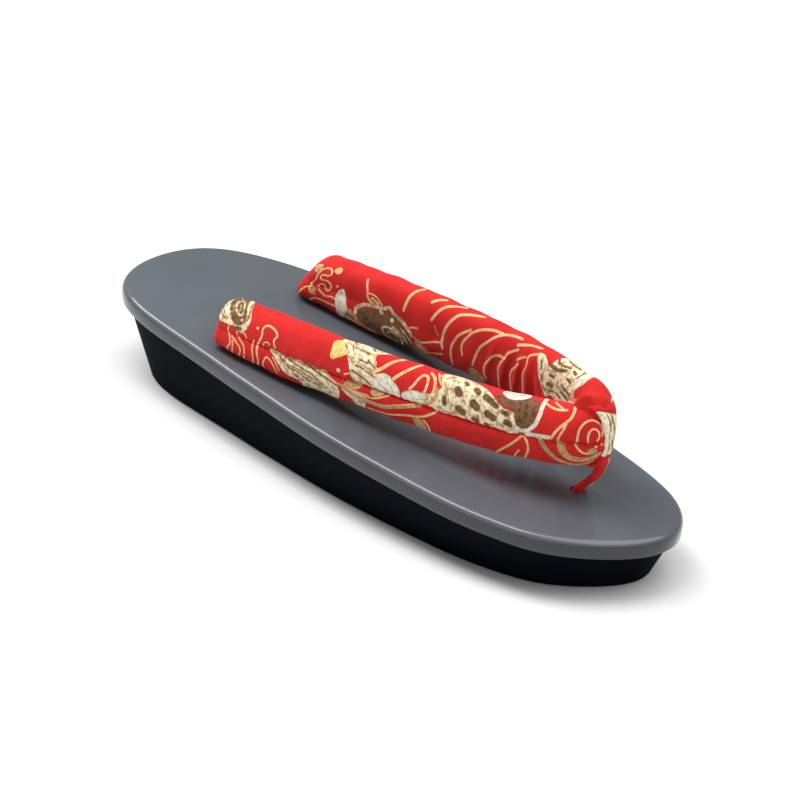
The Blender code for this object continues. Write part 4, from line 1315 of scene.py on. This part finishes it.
def loop_path():
    """Closed oval round the apex of the strap, as (y, z), squared off and cinched into the cloth."""
    apex_y = HOLES["front"][1] + APEX_PAST_HOLE
    low = board_top(apex_y) + BAND_WIDTH * band_row(1.0, "lower_edge")
    high = board_top(apex_y) + BAND_WIDTH * band_row(1.0, "upper_edge")
    front = apex_y + BAND_APEX_ROUND + LOOP_LIFT
    back = front - LOOP_DEPTH - 2 * LOOP_LIFT
    turn = np.arange(LOOP_STATIONS) * 2 * math.pi / LOOP_STATIONS
    cos = np.sign(np.cos(turn)) * np.abs(np.cos(turn)) ** LOOP_POWER_ALONG
    sin = np.sign(np.sin(turn)) * np.abs(np.sin(turn)) ** LOOP_POWER_UP
    y = (front + back) / 2 + ((front - back) / 2 * (1 - CINCH)) * cos
    z = (low + high) / 2 + ((high - low) / 2 + LOOP_LIFT) * (1 - CINCH) * sin
    return np.stack((y, z), axis=1)


def stem_path():
    """Thong from the front of its loop, down and back into the front hole."""
    hole_y = HOLES["front"][1]
    ys = hole_y + THONG_RUN * column(STEM, STEM_COLUMNS, "forward")
    heights = board_top(hole_y) + THONG_RISE * column(STEM, STEM_COLUMNS, "height")
    return path_through((*zip(ys, heights), (hole_y, WELL_DEPTH)), STEM_STATIONS)


def thong_tube(path, width, thickness, closed, tuck):
    """Flattened tube square to a path in the plane of the sandal's length and height.

    A section is an oval: half the width times a power of the cosine goes across, and half the
    thickness times the sine goes square to the path. The thickness has a narrow trough off the
    middle for the sharp fold, small wrinkles that run across it, and a slanting trough where the
    cloth is tucked under itself.
    """
    x = HOLES["front"][0]
    turn = np.arange(THONG_SIDES)[None, :] * 2 * math.pi / THONG_SIDES
    if closed:
        run = np.roll(path, -1, axis=0) - np.roll(path, 1, axis=0)
        step = np.linalg.norm(np.roll(path, -1, axis=0) - path, axis=1)
    else:
        run = np.gradient(path, axis=0)
        step = np.linalg.norm(run, axis=1)
    run = run / np.linalg.norm(run, axis=1)[:, None]
    along = np.concatenate(([0.0], np.cumsum(step)[:-1]))[:, None]
    wide = np.sign(np.cos(turn)) * np.abs(np.cos(turn)) ** THONG_POWER
    fold = 1 - FOLD_DEPTH * np.exp(-(((wide - FOLD_PLACE) / FOLD_HALF_WIDTH) ** 2))
    wrinkle = np.sin(along / WRINKLE_LENGTH + 2 * wide) * np.sin(along / WRINKLE_GROUP)
    across = width / 2 * wide * (1 + WAVER * np.sin(along / WAVER_LENGTH))
    from_tuck = (along - tuck - TUCK_SLANT * across) / TUCK_HALF_WIDTH
    tucked = 1 - TUCK_DEPTH * np.exp(-(from_tuck ** 2))
    flat = thickness / 2 * np.sin(turn) * fold * (1 + WRINKLE_RISE * wrinkle) * tucked
    points = np.stack((x + across, path[:, :1] + flat * run[:, 1:], path[:, 1:] - flat * run[:, :1]), axis=2)
    return points, (along + 0 * turn) / MM, across / MM


def add_thong_piece(name, tube, inks, closed, finish):
    """Tube of the thong with its inks in mm and its UV map in mm."""
    rings, along, across = tube
    rows, count = rings.shape[:2]
    last = (rows - 1) * count
    caps = () if closed else (range(count - 1, -1, -1), range(last, last + count))
    piece = add_piece(name, rings.reshape(-1, 3), grid_faces(rows, count, closed), caps, finish)
    for ink, depth in inks.items():
        data = piece.data.attributes.new(f"ink_{ink}", "FLOAT", "POINT")
        data.data.foreach_set("value", np.clip(depth, -FIELD_REACH, FIELD_REACH).ravel())
    reach = LOOP_TOP_WIDTH / MM
    lay_uv(piece, along.ravel(), (across + reach).ravel(), 4 * reach)
    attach(piece, "root")
    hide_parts("front_thong")


def loop_widths():
    """Width of the loop at each station: widest over the top and narrow down the front."""
    turn = np.arange(LOOP_STATIONS) * 2 * math.pi / LOOP_STATIONS
    share = np.clip(np.sin(turn), 0, 1) ** LOOP_SPREAD
    return (LOOP_FRONT_WIDTH + (LOOP_TOP_WIDTH - LOOP_FRONT_WIDTH) * share)[:, None]


def loop_inks(along, across):
    """Cream down the front of the loop, from the slanting tuck to below it, with brown lines in it."""
    round_again = along.max() - LOOP_CREAM_BELOW / MM
    cream = np.maximum(LOOP_CREAM_ABOVE / MM + TUCK_SLANT * across - along, along - round_again)
    lines = [half - np.abs(across - place - swing * np.sin(along / length))
             for half, place, swing, length in LOOP_LINES]
    return {"cream": cream, "brown": np.minimum(cream, np.maximum(*lines))}


def stem_inks(along, across):
    """Cream line that moves over from one edge of the stem to the other, on its outer side only."""
    low, high = EDGE_LINE_SPAN
    drift = EDGE_LINE_DRIFT * (np.clip(along / along.max(), low, high) - low)
    cream = EDGE_LINE_HALF - np.abs(across - STEM_WIDTH / MM * (EDGE_LINE_START + drift))
    cream[:, THONG_SIDES // 16:THONG_SIDES * 7 // 16] = -1.0
    return {"cream": cream, "brown": cream - FIELD_REACH}


def make_front_thong():
    """Loop, stem and knot of the thong."""
    inks = (("cream", "#fdf2d8", "#d3bd8a"), ("brown", "#8a7440", "#5d4d2a"))
    cotton = printed_cotton("thong_cotton", ("#cc1d1a", "#de2a24"), 150.0, (700.0, 0.4, 0.7), inks, 0.0)
    loop = thong_tube(loop_path(), loop_widths(), LOOP_THICKNESS, True, LOOP_CREAM_ABOVE)
    add_thong_piece("thong_loop", loop, loop_inks(*loop[1:]), True, cotton)
    x, y = HOLES["front"]
    line = stem_path()
    foot = np.clip(1 - (line[:, 1] - board_top(y)) / STEM_FOOT_RISE, 0, 1)[:, None]
    stem = thong_tube(line, STEM_WIDTH + (STEM_FOOT - STEM_WIDTH) * foot,
                      STEM_THICKNESS + (STEM_FOOT - STEM_THICKNESS) * foot, False, NO_TUCK)
    add_thong_piece("thong_stem", stem, stem_inks(*stem[1:]), False, cotton)
    knot = loft("front_knot", knot_rings(x, y, board_top(y) - BOARD_THICKNESS), red_cord)
    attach(knot, "root")
    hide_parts("front_thong")


make_front_thong()


# Floor and light: a flat pale floor in a dim white room, under a wide overhead softbox and a
# smaller one that draws the bright line along the board's rounded edge.
FLOOR_SIZE = 6.0
ROOM_LIGHT = 0.3

# Lamps: name, place, what it is turned to, width and length in metres, and power in watts
LAMPS = (
    ("overhead_softbox", (-0.20, 0.45, 1.2), (0, 0.04, 0.03), 1.2, 1.2, 12.0),
    ("strip_softbox", (0.16, -0.50, 0.95), (0, 0, 0.03), 0.34, 1.2, 11.5),
)


def make_floor():
    """Flat sheet under the sole."""
    reach = FLOOR_SIZE / 2
    corners = [(-reach, -reach, 0), (reach, -reach, 0), (reach, reach, 0), (-reach, reach, 0)]
    finish, tree, shader = new_finish("pale_floor", {
        "Base Color": linear("#efefef"), "Roughness": 0.9, "Specular IOR Level": 0.1,
    })
    floor = add_piece("floor", corners, np.array([(0, 1, 2, 3)]), (), finish)


def add_lamp(name, place, aim, width, length, power):
    """Soft lamp at a place, turned to face the aim, its length along the sandal."""
    data = bpy.data.lights.new(name, "AREA")
    data.shape = "RECTANGLE"
    data.size = width
    data.size_y = length
    data.energy = power
    lamp = bpy.data.objects.new(name, data)
    bpy.context.collection.objects.link(lamp)
    back = np.array(place, dtype=float) - np.array(aim)
    back /= np.linalg.norm(back)
    side = np.cross((0, 1, 0.01), back)
    side /= np.linalg.norm(side)
    matrix = np.identity(4)
    matrix[:3, 0] = side
    matrix[:3, 1] = np.cross(back, side)
    matrix[:3, 2] = back
    matrix[:3, 3] = place
    lamp.matrix_world = Matrix(matrix.tolist())


def light_room():
    """Lamps in even white surroundings."""
    for lamp in LAMPS:
        add_lamp(*lamp)
    world = bpy.data.worlds.new("white_room")
    world.use_nodes = True
    background = world.node_tree.nodes["Background"]
    background.inputs["Color"].default_value = (1.0, 1.0, 1.0, 1.0)
    background.inputs["Strength"].default_value = ROOM_LIGHT
    bpy.context.scene.world = world
    bpy.context.scene.view_settings.view_transform = "Standard"


make_floor()
light_room()
